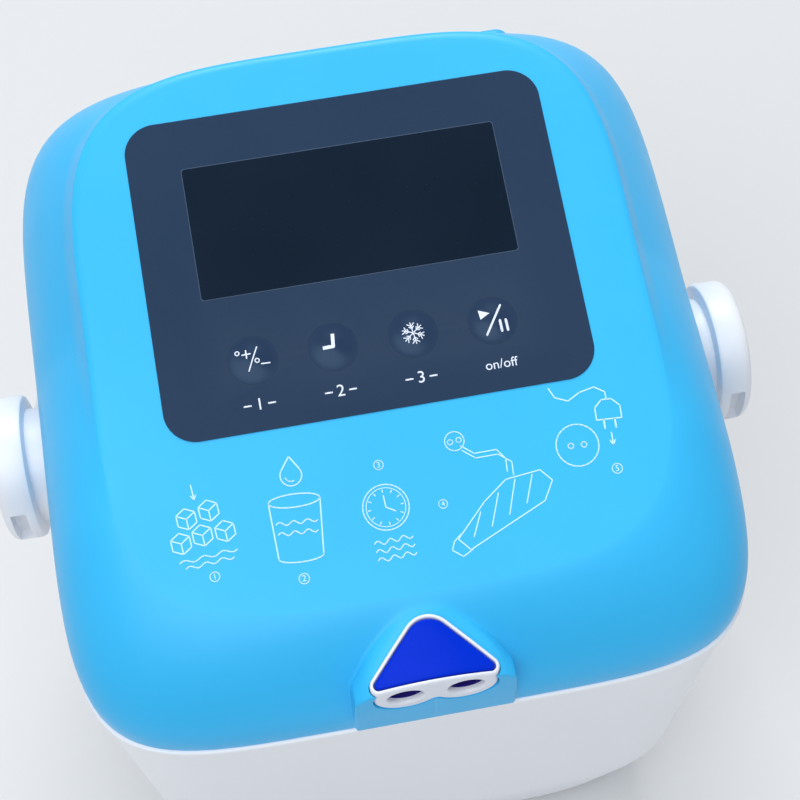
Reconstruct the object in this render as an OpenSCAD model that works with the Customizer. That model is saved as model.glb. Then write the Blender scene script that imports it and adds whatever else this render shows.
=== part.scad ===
// Portable hot and cold therapy machine: an insulated ice bucket with a bail handle, closed by a
// lid that carries the control panel, the circulation pump and a twin-port hose coupler.
// X runs to the right, the front faces -Y, and Z is up from the table.

/* [Body] */
// Width at the seam between lid and bucket
body_w = 260; // [225:5:300]
// Depth at the seam between lid and bucket
body_d = 267; // [235:1:310]
// Height of the seam above the table
seam_h = 236; // [196:2:284]
// How square the outline is, as the power of its curve
squareness = 6; // [4:0.5:8]
// Thickness of the moulded walls
wall = 3; // [2.4:0.1:3.8]
// Thickness of the foam between the two bucket walls
foam = 9; // [8:0.5:12]
// Narrowing of each side between the rim and the foot
foot_inset = 17; // [10:1:22]
// Narrowing of each side between the rim and the crease
crease_inset = 5; // [2:1:8]
// Height of the crease above the table
crease_h = 70; // [50:1:90]
// Height of the rubber feet
foot_h = 4; // [3:0.5:6]
// Radius of the rubber feet
foot_r = 9; // [6:0.5:12]
// Thickness of the rim ring that closes the two bucket walls
rim_t = 4.7; // [4:0.1:6]
// How far the rim ring stands proud of the lid
rim_proud = 0.9; // [0.4:0.1:1.5]

/* [Lid] */
// Slope of the control deck
deck_angle = 13; // [9:0.5:15]
// Height of the deck over the seam at the middle of the panel
deck_h = 75; // [68:1:88]
// Width of the shoulder beside the raised deck
shoulder_w = 27; // [20:1:32]
// Width of the shoulder behind the raised deck
shoulder_l = 30; // [22:1:34]
// How square the raised deck is, as the power of its curve
deck_squareness = 4.1; // [3.6:0.1:6]
// Step from the shoulder up to the raised deck
deck_step = 4; // [2:0.5:5]
// Height of the upright skirt at the front
skirt_front = 4; // [3.5:0.5:10]
// Height of the upright skirt at the rear
skirt_rear = 28; // [20:1:32]
// Softness of the edge where the deck rolls down at the front
roll_front = 1.5; // [1.2:0.1:2]
// Softness of the edge where the deck rolls down at the rear
roll_rear = 0.8; // [0.7:0.1:1.2]
// Fullness of the roll from deck to skirt
roll_full = 2.1; // [1.6:0.1:2.4]

/* [Panel] */
// Width of the panel plate
panel_w = 158; // [140:1:170]
// Length of the panel plate along the slope
panel_l = 124; // [112:1:134]
// Corner radius of the panel plate
panel_r = 12; // [6:1:18]
// Thickness of the panel plate
panel_t = 1.6; // [1.2:0.1:2]
// Distance of the panel's middle behind the machine's middle
panel_y = 22; // [12:1:28]
// Width of the display window
window_w = 118; // [100:1:124]
// Length of the display window along the slope
window_l = 52; // [44:1:54]
// Distance of the window's middle up the slope from the panel's middle
window_v = 16; // [14:1:22]
// Radius of a round button
button_r = 9; // [7:0.5:10.5]
// Distance from button to button
button_pitch = 29.5; // [27:0.5:33]
// Distance of the button row down the slope from the panel's middle
button_v = 35.4; // [32:0.2:40]
// Travel of a button
button_travel = 0.8; // [0.5:0.1:1]

/* [Coupler] */
// Distance from port to port
port_pitch = 21.6; // [20:0.2:24]
// Radius of a hose port
port_r = 6.4; // [5:0.1:6.8]
// Depth of the open socket of a port
socket_depth = 12; // [11:0.5:13]
// Height of the ports over the seam
port_h = 30; // [27:0.5:32]
// Radius of the lobe around a port
lobe_r = 11.4; // [10.8:0.1:11.8]
// Depth of the coupler block
coupler_depth = 24; // [22:1:28]
// Width of the triangular head
head_w = 45.8; // [42:0.2:48]
// Travel of the release button
release_travel = 1.4; // [0.8:0.1:1.4]

/* [Handle] */
// Distance from the pivot to the middle of the grip
reach = 168; // [160:1:190]
// Height of the pivot under the seam
pivot_drop = 14; // [12:1:24]
// Distance of the pivot behind the machine's middle
pivot_y = 2; // [-4:1:8]
// Radius of the round handle hubs
hub_r = 29; // [24:1:32]
// Thickness of the handle hubs
hub_t = 13.4; // [12:0.2:16]
// Radius of the pivot pins
pin_r = 5; // [4:0.5:6]
// Radius of the grip sleeve
grip_r = 12.5; // [11.5:0.5:15]
// Length of the grip sleeve
grip_l = 116; // [90:2:150]
// Thickness of the bail
bail_t = 7.2; // [6:0.2:9]
// Width of the bail
bail_w = 18; // [14:0.5:19]

/* [Pump] */
// Radius of the pump column at its top
column_top_r = 31; // [29:0.5:36]
// Radius of the pump column at its foot
column_foot_r = 27; // [26:0.5:30]
// Height of the pump housing's top above the tank floor
pump_h = 45; // [42:1:60]
// Radius of the impeller
impeller_r = 17; // [14:0.5:18]
// Number of impeller vanes
vane_count = 6; // [5:1:8]
// Travel of a port valve
valve_travel = 2; // [1:0.1:2.4]
// Travel of the rear latch
latch_travel = 1.4; // [0.8:0.1:1.4]

/* [Hidden] */

$fn = 48;
ring_n = 48;
corner_crowding = 8;
eps = 0.05;
clear = 0.3;
fit_gap = 0.02;
run_gap = 0.06;
seat_gap = 0.1;
lay_gap = 0.2;
cut_over = 1;
boss_wall = 3;

white = [0.93, 0.94, 0.97];
blue = [0.29, 0.75, 0.98];
deep_blue = [0.04, 0.22, 0.85];
slate = [0.2, 0.26, 0.36];
glass_dark = [0.1, 0.15, 0.2];
rubber = [0.3, 0.31, 0.33];
steel = [0.72, 0.74, 0.76];
board_green = [0.1, 0.36, 0.22];
foam_cream = [0.94, 0.9, 0.78];

half_w = body_w / 2;
half_d = body_d / 2;
plate_top = foot_h + wall;
tank_floor = plate_top + foam + wall;
rim_top = seam_h - clear;
rim_foot = rim_top - rim_t;
liner_inset = wall + foam + wall;
deck_tan = tan(deck_angle);

// Front face of the coupler and of the flat face around it
boss_front = half_d + 1;
face_proud = 0.3;
coupler_front = boss_front + face_proud;
arch_x = head_w / 2 + 6.6;
arch_side_h = 31;
arch_brow_h = 38;
port_z = seam_h + port_h;
coupler_back = coupler_front - coupler_depth;
socket_end = coupler_front - socket_depth;
valve_r = 4.1;
valve_l = 5.5;
valve_bore_r = valve_r + fit_gap * 3;
valve_back = socket_end - clear - valve_l;
water_r = 2.2;
nipple_r = 4;
nipple_l = 8;
hose_r = 4;
nipple_end = coupler_back - nipple_l;
seal_seat_r = port_r + 1;
seal_seat_l = 2;
seal_seat_y = coupler_front - 8;

// Heights over the deck of the frame's top, the button's pocket and the button itself
frame_top = 2.2;
frame_wall = 1.3;
release_gap = 0.45;
apex_back = 13.2;
apex_r = 10.1;
head_corner_r = 3.2;
pocket_foot = -2;
release_foot = pocket_foot + 0.2 + release_travel;
release_top = 2.4;
release_depth = 16;
release_spring_r = 2.2;
spring_bore_r = 3.1;
release_forward = 0.15;
port_chamfer = 1.3;
spring_foot = -9.4;

// The handle hangs behind the bucket with its grip against the rear wall
pivot_z = seam_h - pivot_drop;
rest_gap = 0.4;
grip_rise = 0.52 * reach;
grip_wall = crease_inset * (rim_top - pivot_z + grip_rise) / (rim_top - crease_h);
rest_y = half_d - grip_wall + grip_r + rest_gap;
rest_angle = acos((rest_y - pivot_y) / reach);
handle_back = rest_y + grip_r;
middle_shift = (coupler_front - handle_back) / 2;
bail_in = half_w + rim_proud + 0.5;
boss_out = bail_in - clear;
hub_in = bail_in + bail_t;
hub_out = hub_in + hub_t;
hub_neck_r = 22;
pin_boss_t = 2;
pin_boss_l = 12;
bail_corner_r = 24;
pin_in = half_w - wall - 6;
pin_head_r = 8;
pin_head_t = 3;
pin_play = 0.4;
pin_seat_play = 0.8;
slot_w = 5;
slot_l = 18;
slot_depth = 6;
slot_from_bail = 5.5;
bail_hub_w = 30;
hub_round = 2;
hub_edge = 4;
cap_r = 21;
cap_t = 2.4;
cap_seat = hub_out - cap_t - seat_gap;

// Column and pump, from the tank floor up
column_y = 10;
strainer_foot = tank_floor + 5;
strainer_r = 27;
housing_foot = strainer_foot + 20;
housing_top = tank_floor + pump_h;
cavity_r = impeller_r + 4;
shaft_r = 2;
motor_r = 13;
motor_h = 40;
outlet_x = -18;
column_top = seam_h + 1.5;
column_wall = 2.5;
lid_base_t = 3;
base_top = column_top + lid_base_t;
duct_r = 24;
spout = [56, -24];
probe = [42, 40, 0];
probe_l = 130;
probe_r = 2.5;
vane_t = 1.6;
vane_h = 7;
vane_turn = -25;
impeller_hub_r = 5;
strainer_t = 2.5;
strainer_slots = 16;
strainer_slot_w = 3.2;
lead_r = 2;

board_h = 14;
board_t = 1.6;
board_w = 142;
board_l = 104;
board_v = -4;
post_x = 65;
post_v = 46;
module_w = 112;
module_l = 46;
pocket_t = 1.2;
stem_r = 3;
stem_room = 1.5;
button_gap = 0.15;
button_foot = -0.2;
plunger_r = 1.7;
post_r = 3.5;
post_bore_r = 1.4;
stem_foot = 6;
switch_h = 3.5;
plunger_top = stem_foot + button_travel + clear;

jack_x = 75;
jack_z = seam_h + 15;
jack_back = half_d - 6;
jack_l = 18;
jack_half = 7;
jack_bore_r = 4;
cover_out = half_d + 7;

latch_w = 32;
latch_l = 16;
latch_z = seam_h - 20;
latch_x = 10;
button_back = half_d - wall - 1.5;
tab_out = button_back - latch_travel - clear;
tab_t = 2.6;
tab_w = 14;
tab_foot = latch_z + 2;
hook_t = 1.5;
hook_w = 10;

lid_boss_r = 4.5;
screw_x = half_w - liner_inset - 19;
screw_y = half_d - liner_inset - 23;
lid_head_r = 3.6;
screw_r = 1.75;
screw_head_r = 4;
base_boss_r = 6;
base_screw_x = half_w - 70;
base_screw_y = half_d - 72;
foot_edge = 1.5;
foot_from_corner = 24;
foot_x = half_w - foot_inset - foot_from_corner;
foot_y = half_d - foot_inset - foot_from_corner;

// Radius of a squared-off oval in one direction, and the directions used, crowded at its corners
function polar(a, hw, hd, power) =
    pow(pow(abs(cos(a)) / hw, power) + pow(abs(sin(a)) / hd, power), -1 / power);
function direction(i) = let (even = 360 * i / ring_n) even + corner_crowding * sin(4 * even);

// Outline of the machine with a given half width and half depth
function outline(hw, hd) = [for (i = [0 : ring_n - 1])
    let (a = direction(i), r = polar(a, hw, hd, squareness)) [r * cos(a), r * sin(a)]];

// Level ring of the outline, moved in from the seam's own outline
function ring(inset, z) = [for (p = outline(half_w - inset, half_d - inset)) [p[0], p[1], z]];

// Narrowing of the bucket at a height
function taper(z) = z > crease_h
    ? crease_inset * (rim_top - z) / (rim_top - crease_h)
    : crease_inset + (foot_inset - crease_inset) * (crease_h - z) / (crease_h - foot_h);

// Height of the sloping deck and of the skirt's top
function deck_z(y) = seam_h + deck_h + (y - panel_y) * deck_tan;
function skirt_z(y) = seam_h + skirt_front + (skirt_rear - skirt_front) * (y / half_d + 1) / 2;

// The shoulder lies below the deck at the rear and runs into it toward the front
function rearward(y) = min(max((y + 60) / 70, 0), 1);
function shoulder_z(y) = deck_z(y) - deck_step * rearward(y);
function roll_edge(y) = roll_front + (roll_rear - roll_front) * rearward(y);
function crease_radius(a) = polar(a, half_w - shoulder_w, half_d - shoulder_l, deck_squareness);
function rim_radius(a) = polar(a, half_w, half_d, squareness);

// Height of the roll between the deck's edge at t = 0 and the lid's outline at t = 1
function roll_z(y, t) = t <= 0 ? deck_z(y)
    : skirt_z(y) + (shoulder_z(y) - skirt_z(y)) * pow(1 - pow(min(t, 1), roll_edge(y)), 1 / roll_full);
function lid_z(x, y) =
    let (a = atan2(y, x))
    roll_z(y, (norm([x, y]) - crease_radius(a)) / (rim_radius(a) - crease_radius(a)));

// Ring on the lid's outer face, and the same ring on its inner face
function crown(t) = [for (i = [0 : ring_n - 1])
    let (a = direction(i), r = crease_radius(a) * (1 - t) + rim_radius(a) * t)
    [r * cos(a), r * sin(a), roll_z(r * sin(a), t)]];
function crown_in(t) = [for (i = [0 : ring_n - 1])
    let (a = direction(i), r = crease_radius(a) * (1 - t) + rim_radius(a) * t)
    let (k = polar(a, half_w - wall, half_d - wall, squareness) / rim_radius(a))
    [k * r * cos(a), k * r * sin(a), roll_z(r * sin(a), t) - wall]];

// Middle point of a ring
function middle(pts) = [for (k = [0 : 2]) sum_of([for (p = pts) p[k]]) / len(pts)];
function sum_of(v, i = 0) = i >= len(v) ? 0 : v[i] + sum_of(v, i + 1);

// Point on a plane parallel to the deck: x, distance up the slope, height over the deck
function deck_point(x, v, h) = [x, panel_y + v * cos(deck_angle) - h * sin(deck_angle),
    seam_h + deck_h + v * sin(deck_angle) + h * cos(deck_angle)];

// Closed skin over rings of equal length; a closed loft joins its last ring to its first
module loft(rings, closed = false) {
    n = len(rings[0]);
    m = len(rings);
    points = concat([for (r = rings) each r], closed ? [] : [middle(rings[0]), middle(rings[m - 1])]);
    sides = [for (j = [0 : (closed ? m - 1 : m - 2)]) for (i = [0 : n - 1])
        let (k = (i + 1) % n, up = (j + 1) % m)
        each [[j * n + i, up * n + k, j * n + k], [j * n + i, up * n + i, up * n + k]]];
    ends = closed ? [] : [for (i = [0 : n - 1]) let (k = (i + 1) % n)
        each [[m * n, i, k], [m * n + 1, (m - 1) * n + k, (m - 1) * n + i]]];
    polyhedron(points, concat(sides, ends), convexity = 8);
}

// Upright plate and upright ring in the machine's outline, between two heights
module slab(inset, low, high) {
    translate([0, 0, low]) linear_extrude(high - low)
        polygon(outline(half_w - inset, half_d - inset));
}
module band(outer, inner, low, high) {
    translate([0, 0, low]) linear_extrude(high - low) difference() {
        polygon(outline(half_w - outer, half_d - outer));
        polygon(outline(half_w - inner, half_d - inner));
    }
}

// Round tube along a list of points, square to its first and last stretch
module tube_along(route, r, sides = 8) {
    last = len(route) - 1;
    along = [for (i = [0 : last]) let (d = route[min(i + 1, last)] - route[max(i - 1, 0)]) d / norm(d)];
    loft([for (i = [0 : last])
        let (t = along[i], ref = abs(t[0]) > 0.8 ? [0, 1, 0] : [1, 0, 0])
        let (u = cross(t, ref), a = u / norm(u), b = cross(t, a))
        [for (k = [0 : sides - 1]) route[i] + r * (cos(360 * k / sides) * a + sin(360 * k / sides) * b)]]);
}

// Coil spring along +Z from the origin
module coil(r, wire, length, turns, per_turn = 7) {
    tube_along([for (i = [0 : turns * per_turn])
        [r * cos(360 * i / per_turn), r * sin(360 * i / per_turn),
            wire + (length - 2 * wire) * i / (turns * per_turn)]], wire, 5);
}

module rounded_plate(w, l, t, r) {
    linear_extrude(t) {
        square([w - 2 * r, l], center = true);
        square([w, l - 2 * r], center = true);
        for (x = [-1, 1]) for (y = [-1, 1]) translate([x * (w / 2 - r), y * (l / 2 - r)]) circle(r);
    }
}

// Rounded triangle of the coupler's head, in plan, grown by a margin
module head_plan(grow) {
    hull() {
        translate([0, -coupler_front + apex_back]) circle(apex_r + grow, $fn = 40);
        for (x = [-1, 1]) translate([x * (head_w / 2 - head_corner_r), -coupler_front + head_corner_r])
            circle(head_corner_r + grow, $fn = 32);
    }
}

module placed() { translate([0, middle_shift, 0]) children(); }
module on_deck() { translate([0, panel_y, seam_h + deck_h]) rotate([deck_angle, 0, 0]) children(); }
module at_column() { translate([0, column_y, 0]) children(); }
module toward_front(x, y, z) { translate([x, y, z]) rotate([90, 0, 0]) children(); }
module at_ports() { for (x = [-port_pitch / 2, port_pitch / 2]) toward_front(x, 0, port_z) children(); }
module both_sides() { for (m = [0, 1]) mirror([m, 0, 0]) children(); }
module at_pivot() { translate([0, pivot_y, pivot_z]) children(); }
module along_x(x) { translate([x, 0, 0]) rotate([0, 90, 0]) children(); }
module at_corners(x, y) { for (a = [-1, 1]) for (b = [-1, 1]) translate([a * x, b * y, 0]) children(); }

// ---- Bucket ----

module bucket_shell() color(white) placed() {
    difference() {
        union() {
            loft([ring(taper(plate_top), plate_top), ring(taper(crease_h), crease_h),
                ring(taper(rim_foot), rim_foot), ring(taper(rim_foot) + wall, rim_foot),
                ring(taper(crease_h) + wall, crease_h), ring(taper(plate_top) + wall, plate_top)], true);
            both_sides() at_pivot() {
                along_x(half_w - wall) cylinder(boss_out - half_w + wall, r = hub_neck_r);
                along_x(pin_in - pin_boss_t) cylinder(pin_boss_l, r = pin_r + boss_wall);
            }
        }
        slab(-rim_proud - clear, rim_foot, seam_h + 60);
        both_sides() at_pivot() along_x(pin_in) cylinder(boss_out - pin_in + 1, r = pin_r + fit_gap);
        translate([-latch_w / 2 - clear, half_d - 12, latch_z - latch_l / 2 - clear])
            cube([latch_w + 2 * clear, 20, latch_l + 2 * clear]);
    }
}

module insulation() color(foam_cream) placed() {
    inner = wall + foam - lay_gap;
    outer = wall + lay_gap;
    top = rim_foot - seat_gap;
    window = 3;
    difference() {
        loft([ring(taper(plate_top) + outer, plate_top + seat_gap), ring(taper(crease_h) + outer, crease_h),
            ring(taper(rim_foot) + outer, top), ring(taper(rim_foot) + inner, top),
            ring(taper(crease_h) + inner, crease_h),
            ring(taper(plate_top) + inner, tank_floor - wall - seat_gap)]);
        both_sides() at_pivot() along_x(pin_in - pin_boss_t - clear)
            cylinder(pin_boss_l + pin_boss_t, r = pin_r + boss_wall + clear);
        translate([-latch_w / 2 - window, half_d - 30, latch_z - latch_l / 2 - window])
            cube([latch_w + 2 * window, 40, 60]);
        translate([0, 0, plate_top]) at_corners(base_screw_x, base_screw_y)
            cylinder(foam + cut_over, r = base_boss_r + clear);
    }
}

module tank_liner() color(white) placed() {
    difference() {
        union() {
            loft([ring(taper(plate_top) + wall + foam, tank_floor - wall),
                ring(taper(crease_h) + wall + foam, crease_h), ring(taper(rim_foot) + wall + foam, rim_foot),
                ring(taper(rim_foot) + liner_inset, rim_foot), ring(taper(crease_h) + liner_inset, crease_h),
                ring(taper(plate_top) + liner_inset, tank_floor)]);
            translate([0, 0, plate_top]) at_corners(base_screw_x, base_screw_y)
                cylinder(foam + cut_over, r = base_boss_r);
        }
        at_corners(base_screw_x, base_screw_y) cylinder(plate_top + foam - 0.5, r = screw_r + fit_gap);
    }
}

module rim_ring() color(white) placed() {
    difference() {
        band(-rim_proud, liner_inset + 0.4, rim_foot, rim_top);
        translate([-tab_w / 2 - 1, tab_out - tab_t - 0.6, rim_foot - 1])
            cube([tab_w + 2, tab_t + 1.2, rim_t + 2]);
    }
}

module base_plate() color(white) placed() {
    difference() {
        loft([ring(taper(foot_h) + 1, foot_h), ring(taper(plate_top), plate_top)]);
        at_corners(base_screw_x, base_screw_y) {
            translate([0, 0, foot_h - cut_over]) cylinder(3, r = screw_head_r + clear);
            cylinder(plate_top + cut_over, r = screw_r + run_gap);
        }
    }
}

module base_screws() color(steel) placed() at_corners(base_screw_x, base_screw_y) {
    translate([0, 0, foot_h + seat_gap]) cylinder(2 - seat_gap, r = screw_head_r);
    translate([0, 0, foot_h + 1]) cylinder(wall + foam - 2, r = screw_r);
}

module feet() color(rubber) placed() at_corners(foot_x, foot_y)
    rotate_extrude() polygon([[0, 0], [foot_r - foot_edge, 0], [foot_r, foot_edge], [foot_r, foot_h],
        [0, foot_h]]);

module pivot_pins() color(steel) placed() both_sides() at_pivot() {
    along_x(pin_in + clear) cylinder(cap_seat - pin_head_t - 2 * clear - pin_in, r = pin_r);
    along_x(cap_seat - pin_head_t - pin_play) cylinder(pin_head_t, r = pin_head_r);
}

// The button lies in the rear wall, and its arm hooks in front of the lid's tab
module latch_button() color(white) placed() {
    hook_y = tab_out - tab_t - clear - hook_t;
    translate([-latch_w / 2, button_back, latch_z - latch_l / 2]) cube([latch_w, 5, latch_l]);
    translate([-hook_w / 2, hook_y, tab_foot - clear - 3]) cube([hook_w, half_d - wall - hook_y, 3]);
    translate([-hook_w / 2, hook_y, tab_foot - clear - 3]) cube([hook_w, hook_t, 8]);
}

module latch_spring() color(steel) placed() for (x = [-latch_x, latch_x])
    translate([x, button_back - 0.1, latch_z - 2]) rotate([90, 0, 0])
        coil(2.4, 0.35, foam - 2.6, 3);

// ---- Handle ----

module hub_body() rotate_extrude() polygon([[0, 0], [hub_r - hub_round, 0], [hub_r, hub_round],
    [hub_r, hub_t - hub_edge], [hub_r - hub_edge * 0.3, hub_t - hub_edge * 0.3],
    [hub_r - hub_edge, hub_t], [0, hub_t]]);

module handle() color(white) placed() at_pivot() rotate([-rest_angle, 0, 0]) {
    bail_mid = bail_in + bail_t / 2;
    difference() {
        union() both_sides() {
            along_x(hub_in) hub_body();
            along_x(bail_in) cylinder(bail_t + 1, r = hub_neck_r + 1);
            translate([bail_in, 0, 0]) rotate([90, 0, 90]) linear_extrude(bail_t)
                polygon([[0, -bail_hub_w / 2], [reach - bail_corner_r, -bail_w / 2],
                    [reach - bail_corner_r, bail_w / 2], [0, bail_hub_w / 2]]);
            translate([bail_mid - bail_corner_r, reach - bail_corner_r, 0]) rotate_extrude(angle = 90)
                translate([bail_corner_r, 0]) square([bail_t, bail_w], center = true);
            translate([-eps, reach - bail_t / 2, -bail_w / 2])
                cube([bail_mid - bail_corner_r + 2 * eps, bail_t, bail_w]);
        }
        both_sides() {
            along_x(bail_in - 1) cylinder(hub_t + bail_t + 2, r = pin_r + run_gap);
            along_x(cap_seat - pin_head_t - pin_seat_play) cylinder(hub_t, r = pin_head_r + 0.5);
            along_x(cap_seat) cylinder(hub_t, r = cap_r + seat_gap);
            rotate([rest_angle, 0, 0]) translate([hub_in + slot_from_bail, -hub_r - cut_over, -slot_l / 2])
                cube([slot_w, slot_depth + cut_over, slot_l]);
        }
    }
}

module handle_grip() color(white) placed() at_pivot() rotate([-rest_angle, 0, 0])
    translate([0, reach, 0]) difference() {
        along_x(-grip_l / 2) rotate_extrude() polygon([[0, 0], [grip_r - 2, 0], [grip_r - 0.6, 1.5],
            [grip_r - 0.3, grip_l / 4], [grip_r, grip_l / 2], [grip_r - 0.3, grip_l * 3 / 4],
            [grip_r - 0.6, grip_l - 1.5], [grip_r - 2, grip_l], [0, grip_l]]);
        cube([grip_l + 2, bail_t + 0.2, bail_w + 0.2], center = true);
    }

module hub_caps() color(white) placed() both_sides() at_pivot()
    along_x(cap_seat + seat_gap) cylinder(cap_t, r1 = cap_r, r2 = cap_r - 0.4);

// ---- Lid ----

// Raised arch that carries the coupler, flat at the front and level with the deck
module coupler_arch() {
    foot = 5;
    brow_x = head_w / 2 + 0.5;
    hull() {
        toward_front(0, -boss_front + wall, seam_h) linear_extrude(wall)
            polygon([[-arch_x, foot], [arch_x, foot], [arch_x, arch_side_h], [brow_x, arch_brow_h],
                [-brow_x, arch_brow_h], [-arch_x, arch_side_h]]);
        toward_front(0, -boss_front + 44, seam_h) linear_extrude(1)
            polygon([[-20, foot], [20, foot], [20, 40], [7, 48], [-7, 48], [-20, 40]]);
    }
    translate([-arch_x, -boss_front, seam_h]) cube([2 * arch_x, wall, arch_side_h - 1]);
}

// Space that the coupler takes in the lid, grown by a gap
module coupler_space(gap) {
    at_ports() cylinder(coupler_front + 1, r = lobe_r + gap);
    translate([0, 0, port_z]) linear_extrude(30) head_plan(gap);
    translate([-port_pitch / 2, -coupler_front - 1, port_z - 6])
        cube([port_pitch, coupler_front - 60, lobe_r + 6]);
}

module cover_plan(grow) {
    hull() {
        for (x = [-2.5, 2.5]) translate([x, 38.5]) circle(6 + grow, $fn = 32);
        for (x = [-8, 8]) translate([x, 10.5]) circle(5 + grow, $fn = 32);
    }
}

module lid_posts() {
    on_deck() for (x = [-post_x, post_x]) for (v = [-post_v, post_v])
        translate([x, board_v + v, -board_h]) cylinder(board_h - 2, r = post_r);
    for (x = [-screw_x, screw_x]) for (y = [-screw_y, screw_y])
        let (out = 1 + lid_boss_r / norm([x, y]))
        translate([x, y, base_top]) cylinder(lid_z(out * x, out * y) - 1 - base_top, r = lid_boss_r);
}

module lid_shell() color(blue) placed() {
    difference() {
        union() {
            loft([crown_in(0), crown_in(0.15), crown_in(0.4), crown_in(0.65), crown_in(0.85),
                crown_in(1), ring(wall, seam_h), ring(0, seam_h), crown(1), crown(0.985), crown(0.94),
                crown(0.85), crown(0.72), crown(0.55), crown(0.36), crown(0.18), crown(0.03), crown(0)]);
            coupler_arch();
            lid_posts();
        }
        difference() {
            coupler_space(clear);
            translate([-60, -coupler_back + 1, seam_h - 10]) cube([120, 200, 200]);
        }
        translate([-26, -coupler_back + 0.9, seam_h + 5 - eps]) cube([52, 34, 33]);
        on_deck() {
            translate([0, 0, -pocket_t]) rounded_plate(panel_w + 0.4, panel_l + 0.4, 30, panel_r);
            translate([0, window_v, -10]) rounded_plate(module_w - 3.4, module_l - 1.4, 12, 2);
            for (i = [-1.5 : 1.5]) translate([i * button_pitch, -button_v, -10])
                cylinder(12, r = stem_r + stem_room);
            for (x = [-post_x, post_x]) for (v = [-post_v, post_v])
                translate([x, board_v + v, -board_h - cut_over]) cylinder(9, r = post_bore_r + fit_gap);
        }
        for (x = [-screw_x, screw_x]) for (y = [-screw_y, screw_y])
            translate([x, y, base_top - 1]) cylinder(11, r = screw_r + fit_gap);
        toward_front(jack_x, cover_out, seam_h) linear_extrude(cover_out - half_d + 12) cover_plan(0.2);
    }
}

module lid_base() color(white) placed() {
    difference() {
        union() {
            slab(wall + 1.2, column_top, base_top);
            band(liner_inset + 2, liner_inset + 4.5, seam_h - 12, column_top + 1);
            translate([spout[0], spout[1], column_top]) cylinder(9, r = nipple_r);
            translate([-tab_w / 2, tab_out - tab_t, tab_foot]) cube([tab_w, tab_t, base_top - tab_foot]);
        }
        at_column() translate([0, 0, seam_h - 20]) cylinder(40, r = duct_r);
        translate([spout[0], spout[1], seam_h - 10]) cylinder(40, r = water_r);
        at_corners(screw_x, screw_y) translate([0, 0, seam_h - 10]) cylinder(40, r = screw_r + run_gap);
    }
}

module lid_seal() color(rubber) placed() band(10.5, 14.5, rim_top + 0.2, column_top);

module lid_screws() color(steel) placed() at_corners(screw_x, screw_y) {
    translate([0, 0, column_top - 2]) cylinder(2, r = lid_head_r);
    translate([0, 0, column_top - 1]) cylinder(lid_base_t + 8, r = screw_r);
}

// ---- Panel ----

module panel_plate() color(slate) placed() on_deck() difference() {
    translate([0, 0, -pocket_t]) rounded_plate(panel_w, panel_l, panel_t, panel_r);
    translate([0, window_v, -2]) rounded_plate(window_w + 0.2, window_l + 0.2, 4, 2);
    for (i = [-1.5 : 1.5]) translate([i * button_pitch, -button_v, -2])
        cylinder(4, r = button_r + button_gap);
}

module lcd_window() color(glass_dark) placed() on_deck()
    translate([0, window_v, -pocket_t]) rounded_plate(window_w, window_l, panel_t - 0.2, 2);

module lcd_module() color(steel) placed() on_deck() {
    translate([0, window_v, -board_h]) rounded_plate(module_w, module_l, board_h - wall - 0.2, 1);
    translate([0, window_v, -board_h]) rounded_plate(module_w - 4.4, module_l - 2.4, board_h - 1.3, 1);
}

module main_board() color(board_green) placed() on_deck() difference() {
    translate([0, board_v, -board_h - board_t]) rounded_plate(board_w, board_l, board_t, 3);
    for (x = [-post_x, post_x]) for (v = [-post_v, post_v])
        translate([x, board_v + v, -board_h - 3]) cylinder(5, r = post_bore_r + run_gap);
}

module board_screws() color(steel) placed() on_deck()
    for (x = [-post_x, post_x]) for (v = [-post_v, post_v])
        translate([x, board_v + v, -board_h - board_t - 1.8]) {
            cylinder(1.8, r = 2.8);
            cylinder(board_t + 1.8 + 6, r = post_bore_r);
        }

module button_switches() color(steel) placed() on_deck() for (i = [-1.5 : 1.5])
    translate([i * button_pitch, -button_v, -board_h]) {
        translate([-3, -3, 0]) cube([6, 6, switch_h]);
        cylinder(board_h - plunger_top, r = plunger_r);
    }

// Domed cap in the panel's hole, with a stem that reaches down to its switch
module button(i) color(slate) placed() on_deck() translate([i * button_pitch, -button_v, 0]) {
    rotate_extrude() polygon([[0, button_foot], [button_r, button_foot], [button_r, 0.3],
        [button_r - 1.2, 0.8], [button_r - 4, 1.2], [0, 1.4]]);
    translate([0, 0, -stem_foot]) cylinder(stem_foot, r = stem_r);
}

module button_temperature() button(-1.5);
module button_timer() button(-0.5);
module button_level() button(0.5);
module button_power() button(1.5);

// ---- Coupler ----

// Slab between two planes parallel to the deck
module deck_slab(low, high) on_deck() translate([-40, -220, low]) cube([80, 200, high - low]);

module hose_coupler() color(white) placed() difference() {
    union() {
        at_ports() translate([0, 0, coupler_back]) cylinder(coupler_depth, r = lobe_r);
        at_ports() translate([0, 0, nipple_end]) cylinder(nipple_l + 1, r = nipple_r);
        translate([-port_pitch / 2, -coupler_front, port_z - 6]) cube([port_pitch, coupler_depth, 14]);
        intersection() {
            translate([0, 0, port_z]) linear_extrude(30) head_plan(0);
            deck_slab(-12, frame_top);
        }
    }
    at_ports() {
        translate([0, 0, socket_end]) cylinder(socket_depth + 1, r = port_r);
        translate([0, 0, coupler_front - 1]) cylinder(1.2, r1 = port_r, r2 = port_r + port_chamfer);
        translate([0, 0, seal_seat_y - seal_seat_l]) cylinder(seal_seat_l, r = seal_seat_r);
        translate([0, 0, valve_back - valve_travel - clear]) cylinder(40, r = valve_bore_r);
        translate([0, 0, nipple_end - 1]) cylinder(coupler_depth, r = water_r);
    }
    intersection() {
        translate([0, 0, port_z]) linear_extrude(30) head_plan(-frame_wall);
        deck_slab(pocket_foot, 20);
    }
    release_place() translate([0, 0, spring_foot]) cylinder(9, r = spring_bore_r);
}

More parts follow.
